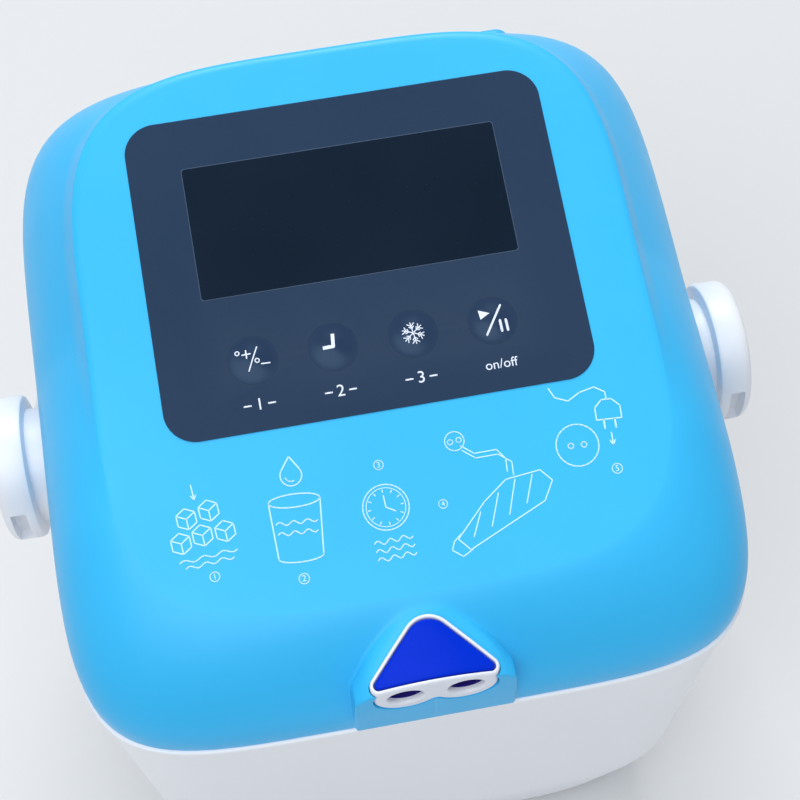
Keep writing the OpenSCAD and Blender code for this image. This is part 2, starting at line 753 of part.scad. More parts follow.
// Middle of the release button, on the deck's own slope
module release_place() on_deck()
    translate([0, (-coupler_front + release_depth - panel_y) / cos(deck_angle), 0]) children();

module release_button() color(deep_blue) placed() intersection() {
    translate([0, -release_forward, port_z]) linear_extrude(30) head_plan(-frame_wall - release_gap);
    deck_slab(release_foot, release_top);
}

module release_spring() color(steel) placed() release_place() translate([0, 0, spring_foot + seat_gap])
    coil(release_spring_r, 0.35, release_foot - spring_foot - lay_gap, 3);

module valve(x) color(deep_blue) placed() toward_front(x, 0, port_z) translate([0, 0, valve_back])
    rotate_extrude() polygon([[0, 0], [valve_r, 0], [valve_r, valve_l - 1], [valve_r - 1, valve_l],
        [0, valve_l]]);
module valve_left() valve(-port_pitch / 2);
module valve_right() valve(port_pitch / 2);

module valve_spring(x) color(steel) placed() toward_front(x, 0, port_z)
    translate([0, 0, valve_back - valve_travel - clear + fit_gap])
        coil(2.9, 0.3, valve_travel + clear - 2.5 * fit_gap, 2);
module valve_spring_left() valve_spring(-port_pitch / 2);
module valve_spring_right() valve_spring(port_pitch / 2);

module port_seals() color(rubber) placed() at_ports()
    translate([0, 0, seal_seat_y - seal_seat_l + seat_gap]) difference() {
        cylinder(seal_seat_l - 2 * seat_gap, r = seal_seat_r - seat_gap);
        translate([0, 0, -cut_over]) cylinder(seal_seat_l + 2 * cut_over, r = port_r + seat_gap);
    }

// ---- Water paths ----

supply_route = [
    [outlet_x, column_y, housing_top + 8], [outlet_x, column_y, housing_top + 30],
    [outlet_x, column_y, seam_h - 40], [outlet_x, column_y, seam_h - 8], [-17, 6, seam_h + 8],
    [-15, -8, seam_h + 18], [-12, -28, port_z - 4], [-port_pitch / 2, -50, port_z],
    [-port_pitch / 2, -nipple_end + 20, port_z], [-port_pitch / 2, -nipple_end, port_z]];

return_route = [
    [port_pitch / 2, -nipple_end, port_z], [port_pitch / 2, -nipple_end + 16, port_z],
    [18, -62, port_z - 1], [34, -44, port_z - 4], [48, -31, seam_h + 24],
    [spout[0], spout[1], seam_h + 17], [spout[0], spout[1], column_top + 9]];

module supply_hose() color(white) placed() tube_along(supply_route, hose_r, 10);
module return_hose() color(white) placed() tube_along(return_route, hose_r, 10);

module temperature_probe() color(steel) placed() translate(probe) {
    translate([0, 0, column_top - 3]) cylinder(3, r = 6);
    translate([0, 0, column_top - probe_l]) cylinder(probe_l - 2, r = probe_r);
}

module pump_column() color(white) placed() at_column() difference() {
    translate([0, 0, housing_top])
        cylinder(column_top - housing_top, r1 = column_foot_r, r2 = column_top_r);
    translate([0, 0, housing_top - eps]) cylinder(column_top - housing_top + 2 * eps,
        r1 = column_foot_r - column_wall, r2 = column_top_r - column_wall);
}

module pump_motor() color(steel) placed() at_column() difference() {
    union() {
        translate([0, 0, housing_top]) cylinder(motor_h, r = motor_r);
        translate([0, 0, housing_top + motor_h]) cylinder(3, r = 5);
    }
    translate([0, 0, housing_top - 1]) cylinder(29, r = shaft_r + run_gap);
}

module pump_shaft() color(steel) placed() at_column()
    translate([0, 0, housing_foot + 2]) cylinder(housing_top - housing_foot + 20, r = shaft_r);

module impeller() color(rubber) placed() at_column() difference() {
    union() {
        translate([0, 0, housing_foot + 3]) cylinder(2, r = impeller_r);
        translate([0, 0, housing_foot + 3]) cylinder(vane_h + 2, r = impeller_hub_r);
        for (i = [0 : vane_count - 1]) rotate(360 * i / vane_count)
            translate([3, 2, housing_foot + 4]) rotate(vane_turn) cube([impeller_r - 5, vane_t, vane_h]);
    }
    cylinder(200, r = shaft_r + fit_gap);
}

module pump_housing() color(white) placed() at_column() difference() {
    union() {
        translate([0, 0, housing_foot]) cylinder(housing_top - housing_foot, r = column_foot_r);
        translate([outlet_x, 0, housing_top - 1]) cylinder(9, r = nipple_r);
    }
    translate([0, 0, housing_foot - 1]) cylinder(housing_top - housing_foot - 3, r = cavity_r);
    cylinder(200, r = shaft_r + 0.4);
    translate([outlet_x, 0, housing_foot]) cylinder(60, r = water_r);
}

module strainer() color(white) placed() at_column() difference() {
    translate([0, 0, strainer_foot]) cylinder(20, r = strainer_r);
    translate([0, 0, strainer_foot + strainer_t]) cylinder(20, r = strainer_r - strainer_t);
    for (i = [0 : strainer_slots - 1]) rotate(360 * (i + 0.5) / strainer_slots)
        translate([strainer_r - 2 * strainer_t, -strainer_slot_w / 2, strainer_foot + 4])
            cube([4 * strainer_t, strainer_slot_w, 12]);
}

// ---- Power inlet ----

module power_jack() color(rubber) placed() difference() {
    translate([jack_x - jack_half, jack_back - jack_l, base_top])
        cube([2 * jack_half, jack_l, jack_z + jack_half - base_top]);
    toward_front(jack_x, jack_back + 1, jack_z) difference() {
        cylinder(12, r = jack_bore_r);
        cylinder(13, r = 1.1);
    }
}

module inlet_cover() color(blue) placed() difference() {
    toward_front(jack_x, cover_out, seam_h) linear_extrude(cover_out - jack_back - seat_gap) cover_plan(0);
    toward_front(jack_x, cover_out + 1, jack_z) cylinder(40, r = jack_bore_r + 1);
    toward_front(jack_x, cover_out + eps, jack_z) cylinder(2, r1 = jack_bore_r + 2.6, r2 = jack_bore_r + 1);
}

module wiring() color(rubber) placed() {
    board_end = deck_point(jack_x - 20, 30, -board_h - board_t - 0.9);
    tube_along([[jack_x, jack_back - jack_l - 0.3, jack_z], [jack_x, jack_back - jack_l - 10, jack_z],
        [jack_x - 5, jack_back - jack_l - 24, jack_z + 6], [jack_x - 14, board_end[1] + 12, jack_z + 20],
        board_end - [0, 0, 18], board_end], lead_r);
    motor_end = [8, column_y + 4, housing_top + motor_h + 0.3];
    lead_end = deck_point(20, -8, -board_h - board_t - 0.9);
    tube_along([motor_end, motor_end + [0, 0, 12], motor_end + [0, 0, 60], [10, column_y + 6, seam_h - 10],
        [lead_end[0] - 2, lead_end[1] + 2, seam_h + 20], lead_end - [0, 0, 14], lead_end], lead_r);
}

bucket_shell();
insulation();
tank_liner();
rim_ring();
base_plate();
base_screws();
feet();
pivot_pins();
latch_button();
latch_spring();
handle();
handle_grip();
hub_caps();
lid_shell();
lid_base();
lid_seal();
lid_screws();
panel_plate();
lcd_window();
lcd_module();
main_board();
board_screws();
button_switches();
button_temperature();
button_timer();
button_level();
button_power();
hose_coupler();
release_button();
release_spring();
valve_left();
valve_right();
valve_spring_left();
valve_spring_right();
port_seals();
supply_hose();
return_hose();
temperature_probe();
pump_column();
pump_motor();
pump_shaft();
impeller();
pump_housing();
strainer();
power_jack();
inlet_cover();
wiring();
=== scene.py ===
# %% [markdown]
# # A hot and cold therapy machine
# The machine is an insulated bucket with a sky-blue lid. The lid carries a dark
# control panel, a pump that hangs into the water, and a coupler for the hose of a
# cooling pad at its front. A carrying handle swings on two round hubs.
#
# The inner parts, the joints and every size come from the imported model, which is
# loaded first. This script only makes the surfaces that are seen, in that same
# frame, so nothing has to be fitted afterwards.

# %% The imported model
import math

import bmesh
import bpy
from mathutils import Matrix, Vector


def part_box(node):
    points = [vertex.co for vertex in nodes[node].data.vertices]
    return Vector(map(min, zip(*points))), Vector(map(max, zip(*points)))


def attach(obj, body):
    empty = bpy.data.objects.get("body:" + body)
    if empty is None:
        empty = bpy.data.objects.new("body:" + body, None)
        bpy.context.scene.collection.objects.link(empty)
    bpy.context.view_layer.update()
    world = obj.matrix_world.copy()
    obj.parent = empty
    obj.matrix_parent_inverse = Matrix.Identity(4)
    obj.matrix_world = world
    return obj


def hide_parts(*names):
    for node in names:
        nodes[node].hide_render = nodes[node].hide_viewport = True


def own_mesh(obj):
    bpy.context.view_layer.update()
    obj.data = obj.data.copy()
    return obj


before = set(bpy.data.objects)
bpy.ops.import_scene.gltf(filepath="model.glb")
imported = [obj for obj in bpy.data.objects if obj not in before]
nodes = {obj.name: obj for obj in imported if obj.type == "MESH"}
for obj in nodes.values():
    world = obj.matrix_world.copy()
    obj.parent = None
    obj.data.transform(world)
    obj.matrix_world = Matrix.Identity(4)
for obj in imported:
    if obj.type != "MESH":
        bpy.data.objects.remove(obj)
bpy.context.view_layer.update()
scene = bpy.context.scene

# %% [markdown]
# ## Where the pieces go
# Every piece below is drawn in millimetres, around the middle of the lid and up from
# the floor, because that is how a maker would measure it. One matrix then moves a
# finished piece to its place in metres. The rim of the bucket says where the middle
# and the seam are.

# %% Sizes read from the rim
rim_low, rim_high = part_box("rim_ring")
MM = 0.001
RIM_PROUD = 0.9
SEAM = rim_high.z / MM + 0.3
HALF_W = rim_high.x / MM - RIM_PROUD
HALF_D = (rim_high.y - rim_low.y) / 2 / MM - RIM_PROUD
MIDDLE_Y = (rim_high.y + rim_low.y) / 2
TO_FRAME = Matrix.Translation((0, MIDDLE_Y, 0)) @ Matrix.Scale(MM, 4)
print(f"seam {SEAM:.1f} mm, half width {HALF_W:.1f} mm, half depth {HALF_D:.1f} mm")

# %% [markdown]
# ## Camera
# The photograph looks steeply down on the lid, turned a little, through a rather long
# lens. The camera's place and its three axes were worked out from the corners of the
# display, the buttons and the outline of the lid.

# %% Camera
camera_data = bpy.data.cameras.new("camera")
camera_data.lens = 73.25
camera_data.sensor_width = 36
camera = bpy.data.objects.new("camera", camera_data)
scene.collection.objects.link(camera)
across = Vector((0.98373, -0.17902, -0.01532))
upward = Vector((0.16557, 0.87008, 0.46428))
backward = across.cross(upward)
camera.matrix_world = Matrix.Translation((-0.0353, -0.3048 + MIDDLE_Y, 0.8169)) @ Matrix(
    (across, upward, backward)).transposed().to_4x4()
scene.camera = camera
print("camera looks down by", round(math.degrees(math.asin(backward.z))), "degrees")

# %% [markdown]
# ## Light
# The machine stands in a plain, pale studio. A wide lamp above and a little in front
# gives the soft gleam on the panel. A second one behind lights the deck and leaves the
# skirt at the front in soft shade, and the pale world fills the shadows. The world is
# shown to the camera in a paler tone than it lights with, which a Light Path node
# switches, so that the background is pale without more light on the object.

# %% Lamps and world
scene.view_settings.view_transform = "Standard"
STUDIO_PALE = (0.75, 0.79, 0.81, 1)
FLOOR_FADE = (0.9, 3.0)


def soft_lamp(name, place, target, size, power, tint):
    data = bpy.data.lights.new(name, "AREA")
    data.shape = "SQUARE"
    data.size = size
    data.energy = power
    data.color = tint
    lamp = bpy.data.objects.new(name, data)
    lamp.location = place
    lamp.rotation_euler = (Vector(target) - Vector(place)).to_track_quat("-Z", "Y").to_euler()
    scene.collection.objects.link(lamp)


soft_lamp("lamp_front", (-0.42, -0.64, 1.72), (0, 0, 0.25), 1.5, 15.5, (1, 1, 1))
soft_lamp("lamp_rear", (0.25, 2.2, 2.6), (0, 0, 0.25), 1.5, 60, (1, 0.99, 0.97))


def seen_rays(tree):
    """One for a ray from the camera, straight or through something clear, and else zero."""
    path = tree.nodes.new("ShaderNodeLightPath")
    either = tree.nodes.new("ShaderNodeMath")
    either.operation = "MAXIMUM"
    for socket, ray in zip(either.inputs, ("Is Camera Ray", "Is Transmission Ray")):
        tree.links.new(path.outputs[ray], socket)
    return either.outputs[0]


world = bpy.data.worlds.new("studio")
world.use_nodes = True
scene.world = world
world_nodes = world.node_tree.nodes
world_links = world.node_tree.links
lighting = world_nodes["Background"]
lighting.inputs["Color"].default_value = (0.88, 0.92, 0.97, 1)
lighting.inputs["Strength"].default_value = 0.5
shown = world_nodes.new("ShaderNodeBackground")
shown.inputs["Color"].default_value = STUDIO_PALE
choose = world_nodes.new("ShaderNodeMixShader")
world_links.new(seen_rays(world.node_tree), choose.inputs["Fac"])
world_links.new(lighting.outputs[0], choose.inputs[1])
world_links.new(shown.outputs[0], choose.inputs[2])
world_links.new(choose.outputs[0], world_nodes["World Output"].inputs["Surface"])

# %% [markdown]
# ## Finishes
# Almost everything here is moulded plastic, so one function makes that finish: a base
# colour that drifts very slightly over a hand's width, as moulded parts do, a fine
# grain that breaks up the gloss, and corners that are a touch paler where hands rub
# them. What is the same all over, such as metal or gloss, is set on the shader itself.

# %% Moulded plastic


def shader_of(name):
    material = bpy.data.materials.new(name)
    material.use_nodes = True
    return material, material.node_tree, material.node_tree.nodes["Principled BSDF"]


def add(tree, kind, **settings):
    node = tree.nodes.new("ShaderNode" + kind)
    for key, value in settings.items():
        if key in node.inputs.keys():
            node.inputs[key].default_value = value
        else:
            setattr(node, key.lower(), value)
    return node


def mapped(tree, source, ends, results, **settings):
    """A value that runs from one result to the other as the source runs between two ends."""
    node = add(tree, "MapRange", **settings)
    for socket, value in zip(("From Min", "From Max", "To Min", "To Max"), (*ends, *results)):
        node.inputs[socket].default_value = value
    tree.links.new(source, node.inputs["Value"])
    return node.outputs["Result"]


def spread(tree, source, low, high):
    """The same for a noise, whose values lie mostly between 0.3 and 0.7."""
    return mapped(tree, source, (0.3, 0.7), (low, high))


def blended(tree, factor, first, second):
    node = add(tree, "Mix", data_type="RGBA")
    for socket, value in ((6, first), (7, second)):
        if isinstance(value, tuple):
            node.inputs[socket].default_value = (*value, 1)
        else:
            tree.links.new(value, node.inputs[socket])
    tree.links.new(factor, node.inputs[0])
    return node.outputs[2]


def plastic(name, colour, roughness, drift=0.04, grain=0.05, grain_size=0.0009, rub=0.12, specular=0.5):
    material, tree, shader = shader_of(name)
    place = add(tree, "TexCoord").outputs["Object"]
    slow = add(tree, "TexNoise", Scale=9.0, Detail=2.0)
    fine = add(tree, "TexNoise", Scale=1 / grain_size, Detail=3.0)
    scuff = add(tree, "TexNoise", Scale=70.0, Detail=6.0, Roughness=0.65)
    for noise in (slow, fine, scuff):
        tree.links.new(place, noise.inputs["Vector"])
    darker = tuple(c * (1 - drift) for c in colour)
    lighter = tuple(min(c * (1 + drift) + 0.004, 1) for c in colour)
    tint = blended(tree, spread(tree, slow.outputs["Fac"], 0, 1), darker, lighter)
    edge = mapped(tree, add(tree, "NewGeometry").outputs["Pointiness"], (0.53, 0.66), (0, rub))
    rubbed = tuple(c + (1 - c) * 0.35 for c in colour)
    tree.links.new(blended(tree, edge, tint, rubbed), shader.inputs["Base Color"])
    tree.links.new(spread(tree, scuff.outputs["Fac"], roughness * 0.88, roughness * 1.12),
                   shader.inputs["Roughness"])
    bump = add(tree, "Bump", Strength=grain, Distance=0.0002)
    tree.links.new(fine.outputs["Fac"], bump.inputs["Height"])
    tree.links.new(bump.outputs["Normal"], shader.inputs["Normal"])
    shader.inputs["Specular IOR Level"].default_value = specular
    return material


def linear(red, green, blue):
    """The shader's colour for a colour given as a screen shows it, from 0 to 255."""
    return tuple((c / 255 / 12.92) if c <= 10 else ((c / 255 + 0.055) / 1.055) ** 2.4
                 for c in (red, green, blue))


SKY_BLUE = plastic("sky_blue_plastic", linear(51, 184, 243), 0.36, drift=0.03, specular=0.28)
WHITE = plastic("white_plastic", linear(233, 236, 242), 0.38, drift=0.015)
BUCKET_WHITE = plastic("bucket_white", linear(245, 247, 252), 0.4, drift=0.01)
COUPLER_WHITE = plastic("coupler_white", linear(232, 236, 246), 0.34, drift=0.012)
DEEP_BLUE = plastic("deep_blue_plastic", linear(0, 47, 206), 0.26, drift=0.05, rub=0, specular=0.04)
# dark blue that paints the shade deep inside the coupler's ports, on the sleeves and on the valves
PORT_SHADE_BLUE = plastic("port_shade_blue", linear(24, 4, 118), 0.4, drift=0.05, specular=0.1)
SLATE = plastic("panel_film", linear(39, 59, 85), 0.28, drift=0.03, grain=0.03, rub=0.05, specular=0.05)
KEY_FILM = plastic("key_film", linear(33, 52, 80), 0.24, drift=0.03, grain=0.03, rub=0.05, specular=0.32)
# the gleam on the keys' lower halves is bluish in the photograph
KEY_FILM.node_tree.nodes["Principled BSDF"].inputs["Specular Tint"].default_value = (0.5, 0.75, 1, 1)
SLATE_LINE = plastic("panel_border", linear(64, 82, 106), 0.4, rub=0, specular=0.14)
PRINT = plastic("print_white", linear(224, 233, 250), 0.5, drift=0.01, rub=0)
LINE_PRINT = plastic("line_print", linear(196, 238, 255), 0.5, drift=0.01, rub=0)
RUBBER = plastic("soft_rubber", linear(56, 58, 62), 0.62, drift=0.08, grain=0.15, rub=0.2)
FOAM = plastic("insulating_foam", linear(238, 228, 196), 0.85, drift=0.06, grain=0.6,
               grain_size=0.0025, rub=0)
BOARD = plastic("circuit_board", linear(24, 92, 56), 0.4, drift=0.15, rub=0.05)
print("plastics:", len(bpy.data.materials))

# %% [markdown]
# The display is a dark pane behind a thin clear front, so it is darker and glossier
# than the film round it, with a few specks of dust. Steel is the only metal: brushed
# in one direction, which is noise drawn out along one axis.

# %% Display glass and steel


def glass_pane():
    material, tree, shader = shader_of("display_glass")
    place = add(tree, "TexCoord").outputs["Object"]
    slow = add(tree, "TexNoise", Scale=14.0, Detail=2.0)
    dust = add(tree, "TexVoronoi", Scale=420.0)
    for noise in (slow, dust):
        tree.links.new(place, noise.inputs["Vector"])
    tint = blended(tree, spread(tree, slow.outputs["Fac"], 0, 1), linear(15, 29, 45), linear(19, 34, 51))
    speck = mapped(tree, dust.outputs["Distance"], (0.02, 0.07), (0.35, 0))
    tree.links.new(blended(tree, speck, tint, linear(92, 104, 120)), shader.inputs["Base Color"])
    tree.links.new(spread(tree, slow.outputs["Fac"], 0.1, 0.16), shader.inputs["Roughness"])
    shader.inputs["Specular IOR Level"].default_value = 0.1
    return material


def brushed_steel():
    material, tree, shader = shader_of("brushed_steel")
    place = add(tree, "TexCoord").outputs["Object"]
    stretch = add(tree, "Mapping")
    stretch.inputs["Scale"].default_value = (40, 900, 900)
    strokes = add(tree, "TexNoise", Scale=1.0, Detail=4.0)
    tree.links.new(place, stretch.inputs["Vector"])
    tree.links.new(stretch.outputs["Vector"], strokes.inputs["Vector"])
    tint = blended(tree, strokes.outputs["Fac"], linear(170, 173, 177), linear(214, 216, 219))
    tree.links.new(tint, shader.inputs["Base Color"])
    tree.links.new(spread(tree, strokes.outputs["Fac"], 0.24, 0.4), shader.inputs["Roughness"])
    bump = add(tree, "Bump", Strength=0.1, Distance=0.0001)
    tree.links.new(strokes.outputs["Fac"], bump.inputs["Height"])
    tree.links.new(bump.outputs["Normal"], shader.inputs["Normal"])
    shader.inputs["Metallic"].default_value = 1
    return material


GLASS = glass_pane()
STEEL = brushed_steel()
print("finishes:", [m.name for m in bpy.data.materials])

# %% [markdown]
# ## Floor
# A matte, pale board that reaches well past the picture. It takes the machine's soft
# shadow, so its colour has to come from its own finish and not from extra light. From
# about a metre on, what the camera sees of it turns slowly into the same pale tone as
# the world, so that no edge shows at the horizon.

# %% Floor


def studio_floor():
    material, tree, shader = shader_of("floor_board")
    place = add(tree, "TexCoord").outputs["Object"]
    slow = add(tree, "TexNoise", Scale=1.5, Detail=2.0)
    tree.links.new(place, slow.inputs["Vector"])
    tint = blended(tree, slow.outputs["Fac"], linear(215, 217, 219), linear(221, 223, 225))
    tree.links.new(tint, shader.inputs["Base Color"])
    distance = add(tree, "VectorMath", operation="LENGTH")
    tree.links.new(place, distance.inputs[0])
    fade = mapped(tree, distance.outputs["Value"], FLOOR_FADE, (0, 1), interpolation_type="SMOOTHSTEP")
    share = add(tree, "Math", operation="MULTIPLY")
    tree.links.new(fade, share.inputs[0])
    tree.links.new(seen_rays(tree), share.inputs[1])
    pale = add(tree, "Emission")
    pale.inputs["Color"].default_value = STUDIO_PALE
    both = add(tree, "MixShader")
    tree.links.new(share.outputs[0], both.inputs["Fac"])
    tree.links.new(shader.outputs[0], both.inputs[1])
    tree.links.new(pale.outputs[0], both.inputs[2])
    tree.links.new(both.outputs[0], tree.nodes["Material Output"].inputs["Surface"])
    shader.inputs["Roughness"].default_value = 0.9
    shader.inputs["Specular IOR Level"].default_value = 0.1
    plane = bmesh.new()
    bmesh.ops.create_grid(plane, x_segments=8, y_segments=8, size=6)
    mesh = bpy.data.meshes.new("floor")
    plane.to_mesh(mesh)
    plane.free()
    mesh.materials.append(material)
    board = bpy.data.objects.new("floor", mesh)
    scene.collection.objects.link(board)


studio_floor()
print("floor laid")

# %% [markdown]
# ## How a skin is drawn
# Most outer parts are skins: they follow the same squared oval all the way round and
# change as they rise. A skin starts as one circle of points. Its edge is extruded once
# for every ring, and each new point is moved to the place that a list gives for it.
# A whole-number layer remembers which point of the circle each one came from, because
# an extrusion copies it.

# %% Skins from extruded rings


def ring_skin(shape, rings, ends=("fill", "fill")):
    """Adds a skin through the rings to the bmesh. Ends are filled, or "join" closes it like a tyre."""
    station = shape.verts.layers.int.get("station") or shape.verts.layers.int.new("station")
    first = bmesh.ops.create_circle(shape, cap_ends=False, radius=1, segments=len(rings[0]))["verts"]
    for i, vert in enumerate(first):
        vert[station] = i
        vert.co = rings[0][i]
    start = list({e for v in first for e in v.link_edges})
    edge = start
    for ring in rings[1:]:
        grown = bmesh.ops.extrude_edge_only(shape, edges=edge)["geom"]
        edge = [g for g in grown if isinstance(g, bmesh.types.BMEdge)]
        for vert in grown:
            if isinstance(vert, bmesh.types.BMVert):
                vert.co = ring[vert[station]]
    if ends == "join":
        bmesh.ops.bridge_loops(shape, edges=start + edge)
    else:
        for end, loop in zip(ends, (start, edge)):
            if end == "fill":
                bmesh.ops.holes_fill(shape, edges=loop, sides=0)


def piece(name, shape, materials, body, sharp=32, place=TO_FRAME):
    """Makes an object of a finished bmesh, in its place, that rides on a body."""
    bmesh.ops.transform(shape, matrix=place, verts=shape.verts)
    bmesh.ops.recalc_face_normals(shape, faces=shape.faces)
    mesh = bpy.data.meshes.new(name)
    shape.to_mesh(mesh)
    shape.free()
    for material in materials:
        mesh.materials.append(material)
    made = bpy.data.objects.new(name, mesh)
    scene.collection.objects.link(made)
    smooth(made, sharp)
    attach(made, body)
    return made


def smooth(made, sharp=32):
    made.data.shade_smooth()
    made.data.set_sharp_from_angle(angle=math.radians(sharp))


OVAL_POWER = 6.0


def polar(cos_a, sin_a, half_w, half_d, power):
    """Reach of a squared oval in one direction."""
    return ((abs(cos_a) / half_w) ** power + (abs(sin_a) / half_d) ** power) ** (-1 / power)


def oval(half_w, half_d, z, count):
    """Ring of a squared oval, with its points spread evenly enough round the corners."""
    ring = []
    for i in range(count):
        a = 2 * math.pi * i / count
        even = a + math.radians(7) * math.sin(4 * a)
        reach = polar(math.cos(even), math.sin(even), half_w, half_d, OVAL_POWER)
        ring.append(Vector((reach * math.cos(even), reach * math.sin(even), z)))
    return ring


# %% [markdown]
# A few shapes need a hole or a slot. A cutter of the hole's shape is made as a mesh of
# its own and taken away with an exact Boolean. The modifier is applied at once, so no
# helper object is left behind in the scene.

# %% Cutting with a Boolean


def carve(made, cutter_shape, sharp=32, place=TO_FRAME):
    bmesh.ops.transform(cutter_shape, matrix=place, verts=cutter_shape.verts)
    bmesh.ops.recalc_face_normals(cutter_shape, faces=cutter_shape.faces)
    mesh = bpy.data.meshes.new("cutter")
    cutter_shape.to_mesh(mesh)
    cutter_shape.free()
    cutter = bpy.data.objects.new("cutter", mesh)
    scene.collection.objects.link(cutter)
    cut = made.modifiers.new("cut", "BOOLEAN")
    cut.operation = "DIFFERENCE"
    cut.solver = "EXACT"
    cut.object = cutter
    graph = bpy.context.evaluated_depsgraph_get()
    carved = bpy.data.meshes.new_from_object(made.evaluated_get(graph))
    made.modifiers.remove(cut)
    made.data = carved
    bpy.data.objects.remove(cutter)
    smooth(made, sharp)


def spun(shape, profile, middle, axis, steps=64, arc=360):
    """Turns a profile, given as (radius, distance along the axis), round an axis."""
    axis = Vector(axis).normalized()
    side = axis.orthogonal().normalized()
    points = [shape.verts.new(Vector(middle) + side * r + axis * h) for r, h in profile]
    edges = [shape.edges.new(pair) for pair in zip(points, points[1:])]
    bmesh.ops.spin(shape, geom=points + edges, cent=middle, axis=axis, angle=math.radians(arc),
                   steps=steps, use_merge=True)
    bmesh.ops.remove_doubles(shape, verts=shape.verts, dist=0.0005)


def join(shape, part):
    """Adds a finished bmesh to another one, and frees it."""
    holder = bpy.data.meshes.new("holder")
    part.to_mesh(holder)
    part.free()
    shape.from_mesh(holder)
    bpy.data.meshes.remove(holder)


def block(shape, low, high, soften, segments=2):
    """A block from corner to corner, with softened edges."""
    low, high = Vector(low), Vector(high)
    corners = bmesh.ops.create_cube(shape, size=1, matrix=Matrix.Translation((low + high) / 2)
                                    @ Matrix.Diagonal((*(high - low), 1)))["verts"]
    edges = list({e for v in corners for e in v.link_edges})
    bmesh.ops.bevel(shape, geom=edges, offset=soften, affect="EDGES", segments=segments, profile=0.5,
                    material=-1)


# %% [markdown]
# ## The lid's form
# The lid is a gently sloping deck with a soft roll-down all round. Measured in one
# direction from the middle, `t` is 0 at the deck's edge and 1 at the lid's outline.
# Between them the height falls along a power curve, so it leaves the deck gently and
# arrives upright at the seam. Toward the rear the shoulder lies 4 mm below the deck,
# which gives the soft step that frames the panel in the photograph.

# %% Height of the deck, the roll and the skirt
DECK_TILT = math.radians(13)
DECK_TAN = math.tan(DECK_TILT)
PANEL_Y = 22.0
DECK_Z = SEAM + 75
SHOULDER = 4
ROLL_SIDE = 27
ROLL_END = 30
DECK_POWER = 4.1
SKIRT_FRONT = 4
SKIRT_RISE = 24
LID_WALL = 3


def deck_z(y):
    return DECK_Z + (y - PANEL_Y) * DECK_TAN


def eased(value, low, high):
    s = min(max((value - low) / (high - low), 0), 1)
    return s * s * (3 - 2 * s)


def roll_z(y, t):
    """Height of the plain lid at t, from the shoulder down to the top of the skirt."""
    rear = min(max((y + 60) / 70, 0), 1)
    skirt = SEAM + SKIRT_FRONT + SKIRT_RISE * (y / HALF_D + 1) / 2
    shoulder = deck_z(y) - SHOULDER * rear
    fall = (1 - min(max(t, 0), 1) ** (1.5 - 0.7 * rear)) ** (1 / 2.1)
    step = SHOULDER * rear * (1 - eased(t, -0.1, 0.2))
    return skirt + (shoulder - skirt) * fall + step


def lid_point(a, t):
    """Point on the plain lid, without the arch, in direction a."""
    cos_a, sin_a = math.cos(a), math.sin(a)
    crease = polar(cos_a, sin_a, HALF_W - ROLL_SIDE, HALF_D - ROLL_END, DECK_POWER)
    reach = crease + (polar(cos_a, sin_a, HALF_W, HALF_D, OVAL_POWER) - crease) * t
    return Vector((reach * cos_a, reach * sin_a, roll_z(reach * sin_a, t)))


# %% [markdown]
# ## The arch over the hose coupler
# At the front the deck runs out level over the coupler and drops to an upright face,
# so the roll is interrupted by a small arch. It is part of the same moulding, with no
# seam, so it is not a second piece: the skin's height is the softened maximum of the
# roll and the arch. The arch's top is the deck's own plane inside a rounded triangle,
# and falls away outside it. A triangle with round corners is the hull of three
# circles, and so are the coupler's frame and its button, which keeps them parallel. On
# each straight side of the hull eight more points are put in, so that it can be bent.

# %% The rounded triangle and the arch
FRONT_Y = -HALF_D - 1
ARCH_X = 29.5
ARCH_BACK = 88
ARCH_FULL = 100
LOBE_FRONT = FRONT_Y - 0.3
BROW = [(0, FRONT_Y + 13.5, 15.5), (24.5, FRONT_Y + 2.0, 5.0)]


def hull_ring(circles, count, height):
    """Ring round the hull of some circles, given as (x, y, radius). Height gives z at x, y."""
    flat = []
    owner = None
    for i in range(count + 1):
        a = 2 * math.pi * i / count
        nearest = max(circles, key=lambda c: c[0] * math.cos(a) + c[1] * math.sin(a) + c[2])
        point = Vector(nearest[:2]) + nearest[2] * Vector((math.cos(a), math.sin(a)))
        if owner and owner != nearest:
            flat += [flat[-1].lerp(point, k / 9) for k in range(1, 9)]
        flat.append(point)
        owner = nearest
    return [Vector((*p, height(*p))) for p in flat[:-1]]


def four_corners(x, y, radius, middle_y=0):
    """Circles at the corners of a rectangle, whose hull is a rounded plate."""
    return [(sx * x, middle_y + sy * y, radius) for sx in (-1, 1) for sy in (-1, 1)]


def upright_ring(circles, y, count=64, x=0):
    """A hull ring that stands upright at y. Its circles are given across and up."""
    return [Vector((x + p.x, y, p.y)) for p in hull_ring(circles, count, lambda *_: 0)]


def triangle(grow):
    return [(0, LOBE_FRONT + 13.2, 10.1 + grow), (-19.7, LOBE_FRONT + 3.2, 3.2 + grow),
            (19.7, LOBE_FRONT + 3.2, 3.2 + grow)]


def soft_step(value, softness):
    """Zero below zero and the value itself above, with a rounded bend between."""
    return (value + math.sqrt(value ** 2 + softness)) / 2


def arch_z(x, y):
    """Height of the arch: bent down to both sides, and falling away outside a rounded triangle."""
    outside = -50.0
    for i in range(24):
        a = math.radians(-10 + 5 * i)
        c, s = math.cos(a), math.sin(a)
        reach = max(px * c + py * s + r for px, py, r in BROW)
        outside = max(outside, abs(x) * c + y * s - reach)
    bend = 0.004 * x * x + 0.7 * soft_step(abs(x) - 23.4, 5)
    return deck_z(y) - 0.3 - bend - 1.9 * soft_step(outside, 5)


